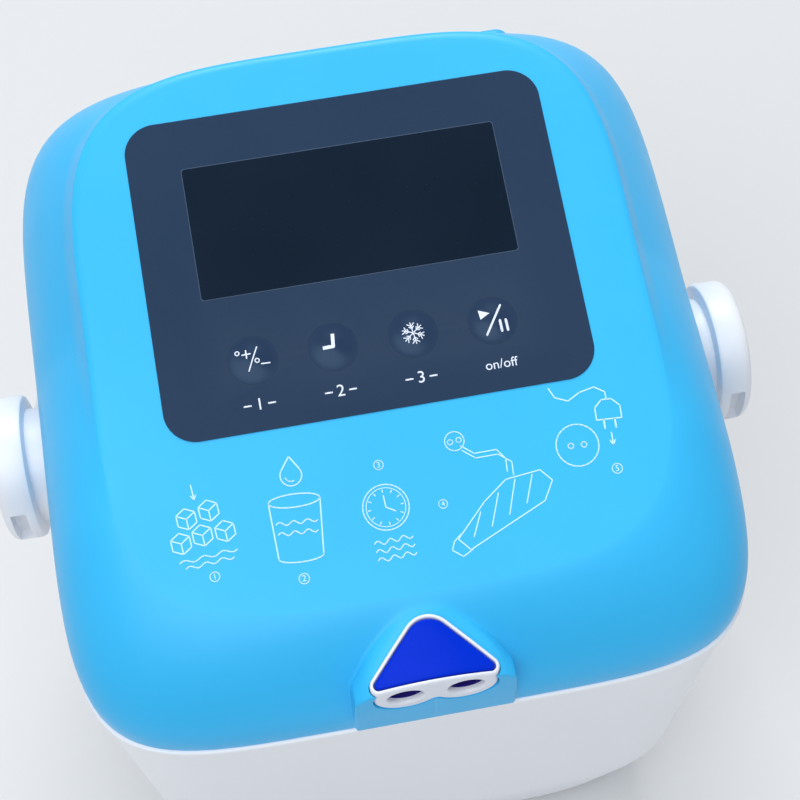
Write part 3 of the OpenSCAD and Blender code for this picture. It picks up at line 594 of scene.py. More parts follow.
def lid_surface(a, t):
    """Point on the lid's outer face, with the arch."""
    p = lid_point(a, t)
    if p.y > -ARCH_BACK or abs(p.x) > ARCH_X + 1 or t > 1.0001:
        return p
    inside = 1 - eased(abs(p.x), ARCH_X - 0.9, ARCH_X + 0.7)
    higher = p.z + soft_step(arch_z(p.x, p.y) - p.z, 1.2)
    higher = p.z + (higher - p.z) * eased(-p.y, ARCH_BACK, ARCH_FULL)
    p.z += (higher - p.z) * inside
    p.y += (FRONT_Y + HALF_D) * inside * eased(t, 0.8, 0.99)
    return p


# %% [markdown]
# The rings of the lid lie about half a millimetre apart on the roll, and the points stand
# closest together beside the arch, where the form changes fastest. The skin turns in
# under the seam and comes back as an inner face 3 mm inside, so it is a closed wall.

# %% The lid's skin


def directions():
    """Directions from the lid's middle, round once from the front."""
    half = [i * 0.35 for i in range(33)] + [11.6 + 0.1 * i for i in range(25)]
    half += [14.1 + 1.5 * i for i in range(111)]
    half = [a for a in half if a < 179.5]
    return [math.radians(-90 + a) for a in half] + [math.radians(-90 - a) for a in reversed(half[1:])]


def lid_rings():
    """Rings of the lid: out over the deck, down the roll, under the seam and back inside."""
    turn = directions()
    rings = []
    for share in (0.12, 0.45, 0.8, 0.93):
        rings.append([p.xy.to_3d() * share for p in (lid_point(a, 0) for a in turn)])
        for p in rings[-1]:
            p.z = deck_z(p.y)
    steps = [-0.12, -0.08, -0.05, -0.03, -0.015] + [0.0125 * i for i in range(17)]
    steps += [0.2125 + 0.0165 * i for i in range(42)] + [0.915, 0.93, 0.943, 0.955, 0.965, 0.975]
    steps += [0.983, 0.99, 0.995, 1.0]
    rings += [[lid_surface(a, t) for a in turn] for t in steps]
    brow = rings[-1]
    for drop, out in ((0.5, 0.3), (1.4, 0.4)):
        rings.append([p + Vector((0, -out if abs(p.x) < ARCH_X and p.y < FRONT_Y + 1.5 else 0, -drop))
                      for p in brow])
    wall = rings[-1]
    for z, pull in ((1.4, 0), (0.5, 0.1), (0.05, 0.45)):
        rings.append([Vector((p.x * (1 - pull / HALF_W), p.y * (1 - pull / HALF_D), SEAM + z)) for p in wall])
    inner = 1 - LID_WALL / HALF_W
    rings.append([Vector((p.x * inner, p.y * inner, SEAM + 0.05)) for p in wall])
    for t in (1.0, 0.95, 0.85, 0.65, 0.4, 0.15, 0.0):
        rings.append([Vector((p.x * inner, p.y * inner, p.z - LID_WALL))
                      for p in (lid_point(a, t) for a in turn)])
    for share in (0.6, 0.12):
        rings.append([p.xy.to_3d() * share for p in (lid_point(a, 0) for a in turn)])
        for p in rings[-1]:
            p.z = deck_z(p.y) - LID_WALL
    return rings


lid_shape = bmesh.new()
ring_skin(lid_shape, lid_rings())
lid_skin = piece("lid_skin", lid_shape, [SKY_BLUE], "lid", sharp=38)
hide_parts("lid_shell")
print("lid skin faces:", len(lid_skin.data.polygons))

# %% [markdown]
# ## The coupler's two ports
# The hose plug pushes into two round ports side by side, so the moulding's face is a
# figure of eight. Seen from its middle, the outline of two overlapping circles is one
# reach for each direction, so the body is again a skin: rings of that outline, drawn
# in slightly at the front edge to round it. Its top stays just under the frame at the
# lip, and lower behind it, where the release button moves down.

# %% The figure of eight
PORT_X = 10.8
PORT_Z = SEAM + 30
LOBE_R = 11.4
WEB_H = 6.6


def eight_ring(y, grow, count=160):
    """Ring of two circles side by side, with the notches between them filled to a web."""
    ring = []
    for i in range(count):
        a = 2 * math.pi * i / count
        c, s = math.cos(a), math.sin(a)
        circle = PORT_X * abs(c) + math.sqrt(LOBE_R ** 2 - (PORT_X * s) ** 2)
        web = WEB_H / max(abs(s), 0.5)
        soft = (circle + web + math.sqrt((circle - web) ** 2 + 3)) / 2
        reach = circle + (soft - circle) * eased(abs(s), 0.7, 0.8) + grow
        ring.append(Vector((reach * c, y, PORT_Z + reach * s)))
    return ring


FRAME_PROUD = 2.26
FRAME_DROOP = 0.0062


def frame_top(x, y):
    """Height of the frame over the ports: a little over the deck, drooping to both sides."""
    return deck_z(y) + FRAME_PROUD - FRAME_DROOP * x ** 2


def bore_ports(made):
    """Cuts both ports, with a rounded mouth and a narrower bore behind, out of a piece."""
    profile = [(0, -2), (7.3, -2), (7.1, 0), (6.7, 0.3), (6.45, 0.9), (6.4, 1.4), (6.4, 12), (4.25, 12),
               (4.25, 21), (0, 21)]
    for side in (-1, 1):
        hole = bmesh.new()
        spun(hole, profile, (side * PORT_X, LOBE_FRONT, PORT_Z), (0, 1, 0), steps=72)
        carve(made, hole)


LIP = 1.25
UNDER_FRAME = 0.5
UNDER_BUTTON = 4.2
coupler = bmesh.new()
rounding = [(23.9, -3.1), (6.4, -2.9), (6, 0), (1.3, 0), (1.2, 0), (0.9, -0.12), (0.4, -0.42), (0.1, -0.9),
            (0, -1.5)]
face_rings = [eight_ring(LOBE_FRONT + back, grow) for back, grow in rounding]
for ring in face_rings:
    for p in ring:
        p.z = min(p.z, frame_top(p.x, p.y) - (UNDER_FRAME if p.y < LOBE_FRONT + LIP else UNDER_BUTTON))
ring_skin(coupler, face_rings)
ports = piece("coupler_ports", coupler, [COUPLER_WHITE], "lid")
bore_ports(ports)
print("port body faces:", len(ports.data.polygons))

# %% [markdown]
# ## The coupler's frame and release button
# Above the ports sits a white frame with a blue button in it, pressed to free the
# hose. The rings of both are the rounded triangle, grown and shrunk, so the frame's
# wall keeps one width all the way round. Both droop a little to the sides. The ports
# run through the frame's foot too, so they are cut again.

# %% Frame and button
FRAME_H = 2.2


def triangle_ring(grow, h, level=None):
    """Ring of the rounded triangle, h over the foot of the drooping frame, or at one level."""
    return hull_ring(triangle(grow), 120,
                     lambda x, y: frame_top(x, y) + h - FRAME_H if level is None else level)


def drawn_in(grow, h, share):
    """A triangle ring drawn in toward its middle, still level with the frame's top."""
    ring = triangle_ring(grow, h)
    middle = sum(ring, Vector()) / len(ring)
    points = [middle.lerp(p, share) for p in ring]
    return [Vector((p.x, p.y, frame_top(p.x, p.y) + h - FRAME_H)) for p in points]


frame_rings = [triangle_ring(-0.5, 0, level=PORT_Z + 1), triangle_ring(-0.1, 0, level=PORT_Z + 2),
               triangle_ring(0, -1.5), triangle_ring(0, 1.3), triangle_ring(-0.1, 1.75),
               triangle_ring(-0.35, 2.08), triangle_ring(-0.65, 2.2), triangle_ring(-0.9, 2.2),
               triangle_ring(-1.15, 2.05), triangle_ring(-1.3, 1.75), triangle_ring(-1.3, -2.2),
               drawn_in(-1.3, -2.2, 0.6), drawn_in(-1.3, -2.2, 0.2)]
frame_shape = bmesh.new()
ring_skin(frame_shape, frame_rings)
coupler_frame = piece("coupler_frame", frame_shape, [COUPLER_WHITE], "lid")
bore_ports(coupler_frame)
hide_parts("hose_coupler")
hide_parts("hose_coupler")

button_rings = [drawn_in(-1.9, -0.4, share) for share in (0.2, 0.6)]
button_rings += [triangle_ring(-1.9, -0.4), triangle_ring(-1.75, 0.0), triangle_ring(-1.75, 1.7),
                 triangle_ring(-1.87, 1.98), triangle_ring(-2.15, 2.14), triangle_ring(-2.6, 2.24),
                 triangle_ring(-3.0, 2.3)]
button_rings += [drawn_in(-3.0, 2.36, share) for share in (0.85, 0.65, 0.45, 0.25)]
button_shape = bmesh.new()
ring_skin(button_shape, button_rings)
release = piece("release_key", button_shape, [DEEP_BLUE], "release")
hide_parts("release_button")
print("frame and release button made")

# %% [markdown]
# The ports are lined with a dark blue sleeve. Its colour is painted shade that darkens the inside
# of each bore, which the eye sees as two dark slits. Each sleeve is one spun profile.

# %% Port sleeves, dark with painted shade
shade_sleeves = bmesh.new()
for side in (-1, 1):
    sleeve = bmesh.new()
    spun(sleeve, [(6.38, 2.1), (6.38, 11.9), (5.9, 11.9), (5.9, 2.3), (6.05, 2.1), (6.38, 2.1)],
         (side * PORT_X, LOBE_FRONT, PORT_Z), (0, 1, 0), steps=64)
    join(shade_sleeves, sleeve)
piece("port_shade_sleeves", shade_sleeves, [PORT_SHADE_BLUE], "lid")
print("port sleeves made")

# %% [markdown]
# The lid is now cut open for the coupler, a third of a millimetre wider than it all
# round, for the four buttons, and for the cover of the power inlet at the rear.

# %% Openings in the lid
DECK = Matrix.Translation((0, PANEL_Y, DECK_Z)) @ Matrix.Rotation(DECK_TILT, 4, "X")
CUT_ROOM = 0.35
BUTTON_X = [-44.25, -14.75, 14.75, 44.25]
BUTTON_V = -35.4
DOME_R = 9.0
INLET_X = 75.0


def eight_cutter():
    shape = bmesh.new()
    ring_skin(shape, [eight_ring(LOBE_FRONT + back, grow) for back, grow in
                      ((-8, CUT_ROOM), (6.2, CUT_ROOM), (6.6, -2.5), (23, -2.7))])
    return shape


def triangle_cutter():
    shape = bmesh.new()
    ring_skin(shape, [triangle_ring(CUT_ROOM, -6), triangle_ring(CUT_ROOM, 12)])
    return shape


def inlet_ring(grow, y):
    circles = [(-2.5, SEAM + 38.5, 6 + grow), (2.5, SEAM + 38.5, 6 + grow),
               (-8, SEAM + 10.5, 5 + grow), (8, SEAM + 10.5, 5 + grow)]
    return upright_ring(circles, y, 96, INLET_X)


carve(lid_skin, eight_cutter(), 38)
carve(lid_skin, triangle_cutter(), 38)
wells = bmesh.new()
for x in BUTTON_X:
    bmesh.ops.create_cone(wells, cap_ends=True, segments=48, radius1=DOME_R + 0.4, radius2=DOME_R + 0.4,
                          depth=6, matrix=DECK @ Matrix.Translation((x, BUTTON_V, 0.8)))
ring_skin(wells, [inlet_ring(0.2, HALF_D - 6), inlet_ring(0.2, HALF_D + 12)])
carve(lid_skin, wells, 38)
print("lid skin after cutting:", len(lid_skin.data.polygons))

# %% [markdown]
# ## Control panel
# The panel is one printed film with rounded corners, stuck on the deck. A rounded
# rectangle is a circle of points pushed out to four corner circles, so the same hull
# ring draws it, and the film's edge is softened with a few more rings.

# %% Panel film


def plate_rings(half_w, half_l, radius, middle, levels, count=96):
    rings = []
    for grow, h in levels:
        circles = four_corners(half_w - radius, half_l - radius, radius + grow)
        ring = hull_ring(circles, count, lambda *_: 0)
        rings.append([DECK @ Vector((p.x + middle[0], p.y + middle[1], h)) for p in ring])
    return rings


FILM_TOP = 0.4
film = bmesh.new()
ring_skin(film, plate_rings(79, 62, 12, (0, 0), [
    (-0.3, -0.3), (0, -0.2), (0, 0.25), (-0.05, 0.35), (-0.15, FILM_TOP), (-0.4, FILM_TOP),
    (-0.8, FILM_TOP)]))
panel_film = piece("panel_film", film, [SLATE], "lid")
holes = bmesh.new()
for x in BUTTON_X:
    bmesh.ops.create_cone(holes, cap_ends=True, segments=128, radius1=DOME_R + 0.05, radius2=DOME_R + 0.05,
                          depth=6, matrix=DECK @ Matrix.Translation((x, BUTTON_V, 0)))
carve(panel_film, holes)
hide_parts("panel_plate")
print("panel film faces:", len(panel_film.data.polygons))

# %% [markdown]
# ## Display
# The display is a dark pane in a hair-thin paler border. Both lie on the film, the
# pane last, so that the border shows as a line.

# %% Display pane and its border
border = bmesh.new()
ring_skin(border, plate_rings(59.3, 26.3, 1.3, (0, 16), [(0, 0.3), (0, 0.44)], count=48))
border_line = piece("display_border", border, [SLATE_LINE], "lid")
pane = bmesh.new()
ring_skin(pane, plate_rings(59, 26, 1.2, (0, 16), [(0, 0.3), (0, 0.44), (-0.08, 0.5)], count=48))
display = piece("display_pane", pane, [GLASS], "lid")
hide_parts("lcd_window")
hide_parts("lcd_window")
print("display laid on the film")

# %% [markdown]
# ## Buttons
# Each button is a low dome pressed into the film. Its profile is half a cosine wave,
# flat at the rim and at the crown, spun round. The dome is its own piece, because it
# moves with its own key.

# %% Domed buttons
KEYS = ["temperature", "timer", "level", "power"]


def dome_h(r):
    """Height of a button over the deck: a millimetre over the film at its crown, level at its rim."""
    return FILM_TOP + 0.5 * (1 + math.cos(math.pi * min(r / DOME_R, 1)))


for key, x in zip(KEYS, BUTTON_X):
    dome = bmesh.new()
    profile = [(0, -3.5), (DOME_R - 0.4, -3.5), (DOME_R, -3.1)] + [
        (DOME_R * (1 - i / 20), dome_h(DOME_R * (1 - i / 20))) for i in range(21)]
    spun(dome, profile, (0, 0, 0), (0, 0, 1), steps=72)
    bmesh.ops.transform(dome, matrix=DECK @ Matrix.Translation((x, BUTTON_V, 0)), verts=dome.verts)
    button = piece(f"button_{key}_dome", dome, [KEY_FILM], f"{key}_key")
    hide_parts(f"button_{key}")
print("buttons:", KEYS)

# %% [markdown]
# ## Printed signs
# A printed line is a chain of thin flat bars with round joints. They are short, so
# that on a dome each bar can sit at the height of the dome under it. The bars stand
# about a tenth of a millimetre proud, like a thick coat of ink.

# %% Printing with short bars
INK_T = 0.16
LONGEST_BAR = 1.4


def line(shape, points, width, closed=False, round_ends=True):
    """Draws a chain of bars through points on the plane z = 0."""
    points = [Vector((*p, 0)) for p in points]
    if closed:
        points.append(points[0])
    for a, b in zip(points, points[1:]):
        run = b - a
        parts = max(1, math.ceil(run.length / LONGEST_BAR))
        for k in range(parts):
            middle = a + run * ((k + 0.5) / parts)
            turn = Matrix.Rotation(math.atan2(run.y, run.x), 4, "Z")
            size = Matrix.Diagonal((run.length / parts, width, INK_T, 1))
            bmesh.ops.create_cube(shape, size=1, matrix=Matrix.Translation(middle) @ turn @ size)
    if closed:
        joints = points[1:]
    elif round_ends:
        joints = points
    else:
        joints = points[1:-1]
    for p in joints:
        bmesh.ops.create_cone(shape, cap_ends=True, segments=8, radius1=width / 2, radius2=width / 2,
                              depth=INK_T, matrix=Matrix.Translation(p))


def arc(cx, cy, r, start=0, end=360, count=18):
    steps = count if end - start < 360 else count - 1
    return [(cx + r * math.cos(math.radians(start + (end - start) * i / count)),
             cy + r * math.sin(math.radians(start + (end - start) * i / count))) for i in range(steps + 1)]


def ring_line(shape, cx, cy, r, width, count=18):
    line(shape, arc(cx, cy, r, count=count), width, closed=True)


def printed(name, shape, x, v, height, body, material=PRINT):
    """Lays a drawing on the deck with its middle at x, v. Height gives how high the surface is."""
    for vert in shape.verts:
        vert.co.z += height(vert.co.xy.length)
    bmesh.ops.transform(shape, matrix=DECK @ Matrix.Translation((x, v, 0)), verts=shape.verts)
    return piece(name, shape, [material], body, sharp=30)


# %% [markdown]
# The four signs are common ones: degrees up and down, the hands of a clock, a snow
# crystal, and play over pause. The triangle is a circle of three points, filled and
# given a thickness.

# %% Signs on the buttons


def snow_crystal(shape):
    for i in range(6):
        turn = Matrix.Rotation(math.radians(60 * i + 8), 2)
        for branch in ([(0, 0), (0, 4.1)], [(-1.25, 3.7), (0, 2.6), (1.25, 3.7)],
                       [(-0.85, 2.5), (0, 1.75), (0.85, 2.5)]):
            line(shape, [tuple(turn @ Vector(p)) for p in branch], 0.37)


def play_and_pause(shape):
    line(shape, [(3.8, 5.3), (-3.0, -5.1)], 0.75)
    line(shape, [(2.55, -0.6), (2.65, -4.5)], 0.95)
    line(shape, [(4.75, -0.6), (4.9, -4.4)], 0.95)
    corners = bmesh.ops.create_circle(shape, cap_ends=True, radius=1, segments=3)["verts"]
    for vert, place in zip(corners, ((-4.7, 4.6), (-0.7, 2.75), (-4.35, 0.85))):
        vert.co = Vector((*place, -INK_T / 2))
    cut = bmesh.ops.subdivide_edges(shape, edges=list({e for v in corners for e in v.link_edges}), cuts=5,
                                    use_grid_fill=True)["geom"]
    faces = list({f for g in cut if isinstance(g, bmesh.types.BMEdge) for f in g.link_faces})
    top = bmesh.ops.extrude_face_region(shape, geom=faces)["geom"]
    bmesh.ops.translate(shape, vec=(0, 0, INK_T), verts=[g for g in top if isinstance(g, bmesh.types.BMVert)])


def degrees_up_and_down(shape):
    ring_line(shape, -5.2, 3.3, 0.75, 0.42, count=12)
    line(shape, [(-3.5, 2.3), (-0.5, 2.3)], 0.5)
    line(shape, [(-2.0, 3.8), (-2.0, 0.8)], 0.5)
    line(shape, [(2.2, 4.6), (-1.9, -4.0)], 0.45)
    ring_line(shape, 1.6, -0.6, 0.75, 0.42, count=12)
    line(shape, [(3.0, -2.0), (6.0, -2.0)], 0.5)


def clock_hands(shape):
    line(shape, [(0.5, 4.8), (0, -0.1), (-3.8, -0.1)], 1.3, round_ends=False)


SIGNS = {"temperature": degrees_up_and_down, "timer": clock_hands, "level": snow_crystal,
         "power": play_and_pause}
for key, x in zip(KEYS, BUTTON_X):
    sign = bmesh.new()
    SIGNS[key](sign)
    printed(f"sign_{key}", sign, x, BUTTON_V, dome_h, f"{key}_key")
print("signs printed:", sorted(SIGNS))

# %% [markdown]
# Under the buttons stand plain numbers, each between two short dashes, and the last
# says on/off, as any switch may. Lettering is a text object, made into a mesh before it
# is laid on the deck.

# %% Numbers under the buttons


def lettering(shape, words, size, place):
    text = bpy.data.curves.new("words", "FONT")
    text.body = words
    text.size = size
    text.align_x = "CENTER"
    text.align_y = "CENTER"
    text.extrude = INK_T / 2
    holder = bpy.data.objects.new("words", text)
    scene.collection.objects.link(holder)
    graph = bpy.context.evaluated_depsgraph_get()
    mesh = bpy.data.meshes.new_from_object(holder.evaluated_get(graph))
    mesh.transform(Matrix.Translation((*place, 0)))
    shape.from_mesh(mesh)
    bpy.data.objects.remove(holder)
    bpy.data.meshes.remove(mesh)


labels = bmesh.new()
for i, x in enumerate(BUTTON_X):
    if i == 3:
        lettering(labels, "on/off", 5.0, (x, 0.1))
    else:
        lettering(labels, str(i + 1), 6.2, (x, 0))
        for sx in (-1, 1):
            line(labels, [(x + sx * 3.2, 0), (x + sx * 5.6, 0)], 0.6)
printed("button_numbers", labels, 0, -52.2, lambda r: FILM_TOP, "lid")
print("numbers printed under the buttons")

# %% [markdown]
# ## Line drawings on the lid
# Five small drawings in thin white lines run along the front of the deck and show how
# such a machine is used. They are plain drawings of our own: ice cubes, a drop over a
# tub, a clock, a pad on its hoses, and a plug with its socket. Each has its number in a
# circle.

# %% Five drawings
STROKE = 0.5


def cube_outline(shape, cx, cy, s):
    """A cube seen from one corner: a hexagon and three spokes."""
    corners = [(cx + s * math.cos(math.radians(30 + 60 * i)), cy + s * math.sin(math.radians(30 + 60 * i)))
               for i in range(6)]
    line(shape, corners, STROKE, closed=True)
    for i in (0, 2, 4):
        line(shape, [(cx, cy), corners[i]], STROKE)


def tub(shape, cx, cy, w, h):
    """An open tub: an oval mouth, two sides and a rounded foot."""
    mouth = [(cx + w / 2 * math.cos(math.radians(a)), cy + h / 2 + w * 0.13 * math.sin(math.radians(a)))
             for a in range(0, 360, 15)]
    line(shape, mouth, STROKE, closed=True)
    line(shape, [(cx - w / 2, cy + h / 2), (cx - w * 0.43, cy - h / 2)], STROKE)
    line(shape, [(cx + w / 2, cy + h / 2), (cx + w * 0.43, cy - h / 2)], STROKE)
    line(shape, [(cx + w * 0.43 * math.cos(math.radians(a)), cy - h / 2 + w * 0.1 * math.sin(math.radians(a)))
                 for a in range(180, 361, 15)], STROKE)


def arrow(shape, a, b, head=2.2):
    line(shape, [a, b], STROKE)
    away = Vector(a) - Vector(b)
    for turn in (28, -28):
        tip = Matrix.Rotation(math.radians(turn), 2) @ away.normalized() * head
        line(shape, [b, tuple(Vector(b) + tip)], STROKE)


def waves(shape, x0, x1, y, rise=0.8):
    ripple = [(x0 + (x1 - x0) * i / 16, y + rise * math.sin(i * math.pi / 2.7)) for i in range(17)]
    line(shape, ripple, STROKE)


def drawing_ice(shape):
    for cx, cy in ((-5.2, 4), (4.4, 5.2), (-0.4, -4.2), (9, -4.8), (-9.6, -5.4)):
        cube_outline(shape, cx, cy, 4.5)
    arrow(shape, (-0.3, 17.5), (-0.3, 11))
    waves(shape, -12, 12, -13.2)
    waves(shape, -10, 10, -16)


def drawing_drop(shape):
    drop = [(0, 22)] + arc(0, 14.5, 4.2, 150, 390, 14)
    line(shape, drop, STROKE, closed=True)
    line(shape, arc(0, 14.5, 2.4, 200, 290, 6), STROKE)
    tub(shape, 0, -6.5, 20, 22)
    waves(shape, -8, 8, -4)
    waves(shape, -7.6, 7.6, -8)


def drawing_clock(shape):
    ring_line(shape, 0, 6, 9.6, STROKE, count=32)
    ring_line(shape, 0, 6, 8.2, STROKE * 0.7, count=28)
    for i in range(12):
        c, s = math.cos(math.radians(30 * i)), math.sin(math.radians(30 * i))
        line(shape, [(6.4 * c, 6 + 6.4 * s), (7.4 * c, 6 + 7.4 * s)], STROKE)
    line(shape, [(0, 11), (0, 6), (3.6, 3.6)], STROKE)
    waves(shape, -8, 8, -8, rise=1)
    waves(shape, -8, 8, -11.5, rise=1)
    waves(shape, -8, 8, -15, rise=1)


def drawing_pad(shape):
    line(shape, [(-24, -12), (-20, -18), (18, -6), (24, 2), (20, 8), (4, 8), (-8, 1)], STROKE, closed=True)
    for seam in (((-17, -12.8), (-11, -3)), ((-8, -10.6), (-1, 3)), ((1, -7.7), (8, 7)),
                 ((10, -4.8), (16, 7))):
        line(shape, seam, STROKE)
    line(shape, [(-22, -10), (-26, -12.5), (-28, -16), (-24, -20), (-19, -18)], STROKE)
    for gap in (0, 2.2):
        hose = [(8 - gap, 9 + gap), (9 - gap, 15 + gap), (4, 20 + gap), (-6, 21 + gap), (-11, 26 + gap)]
        line(shape, hose, STROKE)
    ring_line(shape, -13, 31, 4.4, STROKE, count=20)
    ring_line(shape, -15, 31, 1.2, STROKE, count=10)
    ring_line(shape, -11, 31, 1.2, STROKE, count=10)


def drawing_plug(shape):
    line(shape, arc(-6, -3, 8.4, 0, 360, 28), STROKE, closed=True)
    for x in (-8.6, -3.4):
        ring_line(shape, x, -3, 1.1, STROKE, count=10)
    plug = [(3, 6), (3, 11), (6, 14), (10, 14), (13, 11), (13, 6)]
    line(shape, plug, STROKE, closed=True)
    for x in (5.8, 10.2):
        line(shape, [(x, 6), (x, 2.4)], STROKE * 1.4)
    line(shape, [(8, 14), (8, 17), (4, 19.5), (-2, 18), (-7, 15), (-12, 17), (-14, 21)], STROKE)
    arrow(shape, (8, 0.5), (8, -4.5))


# name, function, place on the deck, scale, turn in degrees, and where its number stands
DRAWINGS = [("ice", drawing_ice, -71.5, -92, 0.86, 5, (0.5, -22)),
            ("drop", drawing_drop, -38, -93, 0.92, -2, (0, -26)),
            ("clock", drawing_clock, -6, -102, 0.86, 3, (1, 24)),
            ("pad", drawing_pad, 35, -101, 0.8, 6, (-26, 5)),
            ("plug", drawing_plug, 71, -84, 0.92, -3, (8, -14))]
for number, (name, draw, x, v, scale, turn, tag) in enumerate(DRAWINGS, 1):
    sheet = bmesh.new()
    draw(sheet)
    ring_line(sheet, *tag, 2.0, 0.4, count=14)
    lettering(sheet, str(number), 3.4, tag)
    bmesh.ops.transform(sheet, verts=sheet.verts, matrix=Matrix.Rotation(math.radians(turn), 4, "Z")
                        @ Matrix.Diagonal((scale, scale, 1, 1)))
    printed(f"drawing_{name}", sheet, x, v, lambda r: 0.02, "lid", LINE_PRINT)
print("drawings:", [d[0] for d in DRAWINGS])

# %% [markdown]
# ## Bucket
# The bucket is a moulded shell that narrows downward, with a soft crease a third of the
# way up and a rounded foot. It is drawn like the lid, ring by ring, and turns in at its
# top and foot to give the wall its thickness. A well for the latch's button is cut in
# its rear wall.

# %% Bucket wall
RIM_TOP = SEAM - 0.3
RIM_FOOT = SEAM - 5.0
CREASE_Z = 70.0
CREASE_IN = 5
FOOT_Z = 4
FOOT_IN = 12
LATCH_Z = SEAM - 20
LATCH_X = 12.0
LATCH_H = 4.0
LATCH_CORNER = 4.0
LATCH_ROOM = 0.3


def taper(z):
    """How far the wall stands in from the rim at a height."""
    if z > CREASE_Z:
        return CREASE_IN * (RIM_TOP - z) / (RIM_TOP - CREASE_Z)
    return CREASE_IN + FOOT_IN * (CREASE_Z - z) / (CREASE_Z - FOOT_Z)


def wall_ring(z, inset, count=288):
    return oval(HALF_W - inset, HALF_D - inset, z, count)


def bucket_rings():
    levels = [(7.2, taper(7.2) + 3), (7.2, taper(7.2) + 0.8), (7.5, taper(7.5) + 0.3), (8.2, taper(8.2))]
    levels += [(z, taper(z)) for z in (20, 35, 50, 60)]
    for i in range(11):
        z = CREASE_Z - 7 + 1.4 * i
        blend = (taper(CREASE_Z - 7) * (10 - i) + taper(CREASE_Z + 7) * i) / 10
        levels.append((z, taper(z) + (blend - taper(z)) * 0.42 * math.sin(math.pi * i / 10)))
    levels += [(z, taper(z)) for z in (90, 120, 150, 180, 205, 222, RIM_FOOT)]
    levels += [(RIM_FOOT, taper(RIM_FOOT) + 3), (CREASE_Z, 8), (9, taper(9) + 3)]
    return [wall_ring(z, inset) for z, inset in levels]


wall_shape = bmesh.new()
ring_skin(wall_shape, bucket_rings(), ends="join")
bucket = piece("bucket_wall", wall_shape, [BUCKET_WHITE], "bucket", sharp=40)
well_corners = four_corners(LATCH_X + LATCH_ROOM, LATCH_H + LATCH_ROOM, LATCH_CORNER, LATCH_Z)
latch_well = bmesh.new()
ring_skin(latch_well, [upright_ring(well_corners, y) for y in (HALF_D - 9, HALF_D + 6)])
carve(bucket, latch_well, 40)
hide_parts("bucket_shell")
print("bucket wall faces:", len(bucket.data.polygons))

# %% [markdown]
# The hub of the handle turns on a round boss on each side of the bucket, and the pin
# goes through it. A spun profile gives the boss its bore and a small soft edge.

# %% Pivot bosses
PIVOT = Vector((0, 2, SEAM - 14))
BAIL_IN = HALF_W + RIM_PROUD + 0.5
bosses = bmesh.new()
for side in (-1, 1):
    reach = BAIL_IN - 0.3 - (HALF_W - 3)
    spun(bosses, [(5.02, 0), (22.6, 0), (22, reach - 1), (21.6, reach - 0.3), (21, reach), (5.02, reach),
                  (5.02, 0)], (side * (HALF_W - 3), PIVOT.y, PIVOT.z), (side, 0, 0), steps=96)
boss_piece = piece("pivot_bosses", bosses, [WHITE], "bucket")
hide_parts("bucket_shell")
print("pivot bosses made")

# %% [markdown]
# ## Rim
# A white ring caps the wall and shows as a bright line under the blue lid. Its outer
# edges are rounded by narrow rings. A gap at the rear takes the lid's latch tab.

# %% Rim ring
rim_levels = [(RIM_FOOT + 0.05, 15.4), (RIM_FOOT + 0.05, -0.3), (RIM_FOOT + 0.35, -0.75),
              (RIM_FOOT + 1.0, -RIM_PROUD), (SEAM - 1.3, -RIM_PROUD), (SEAM - 0.65, -0.72),
              (SEAM - 0.35, -0.3), (RIM_TOP, 0.2), (RIM_TOP, 15.2), (SEAM - 0.5, 15.4)]
rim_shape = bmesh.new()
ring_skin(rim_shape, [wall_ring(z, inset) for z, inset in rim_levels], ends="join")
rim = piece("rim_cap", rim_shape, [BUCKET_WHITE], "bucket", sharp=40)
gap = bmesh.new()
tab_y = HALF_D - 8.8
bmesh.ops.create_cube(gap, size=1, matrix=Matrix.Translation((0, tab_y, SEAM - 2))
                      @ Matrix.Diagonal((16, 3.8, 12, 1)))
carve(rim, gap, 40)
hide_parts("rim_ring")
print("rim faces:", len(rim.data.polygons))

# %% [markdown]
# ## Tank
# Inside the foam lies the tank that holds water and ice. It is seen when the lid is
# lifted, so it gets a smooth wall and a rounded floor corner of its own.

# %% Tank liner
tank_levels = [(16.0, taper(16) + 60), (16.0, taper(16) + 13), (CREASE_Z, 17.0), (RIM_FOOT, 12.1),
               (RIM_FOOT, 15.1), (200, taper(200) + 15), (130, taper(130) + 15), (CREASE_Z + 4, 19.9),
               (CREASE_Z - 4, 20.8), (40, taper(40) + 15), (27, taper(27) + 15.5), (22, taper(22) + 17.5),
               (19.6, taper(20) + 21), (19.05, taper(20) + 27), (19.0, 100)]
tank_shape = bmesh.new()
ring_skin(tank_shape, [wall_ring(z, inset, 192) for z, inset in tank_levels])
tank = piece("tank_wall", tank_shape, [WHITE], "bucket", sharp=40)
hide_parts("tank_liner")
print("tank faces:", len(tank.data.polygons))

# %% [markdown]
# ## Latch button
# At the rear a wide button frees the lid. It is a rounded plate with a softened edge
# and three low ribs for the thumb. Its arm reaches in through the wall and ends in an
# upright hook, which is only seen when the lid is off.

# %% Latch button
LATCH_TRAVEL = 1.4
TAB_T = 2.6
HOOK_T = 1.5


def latch_ring(grow, y):
    return upright_ring(four_corners(LATCH_X, LATCH_H, LATCH_CORNER + grow, LATCH_Z), y)


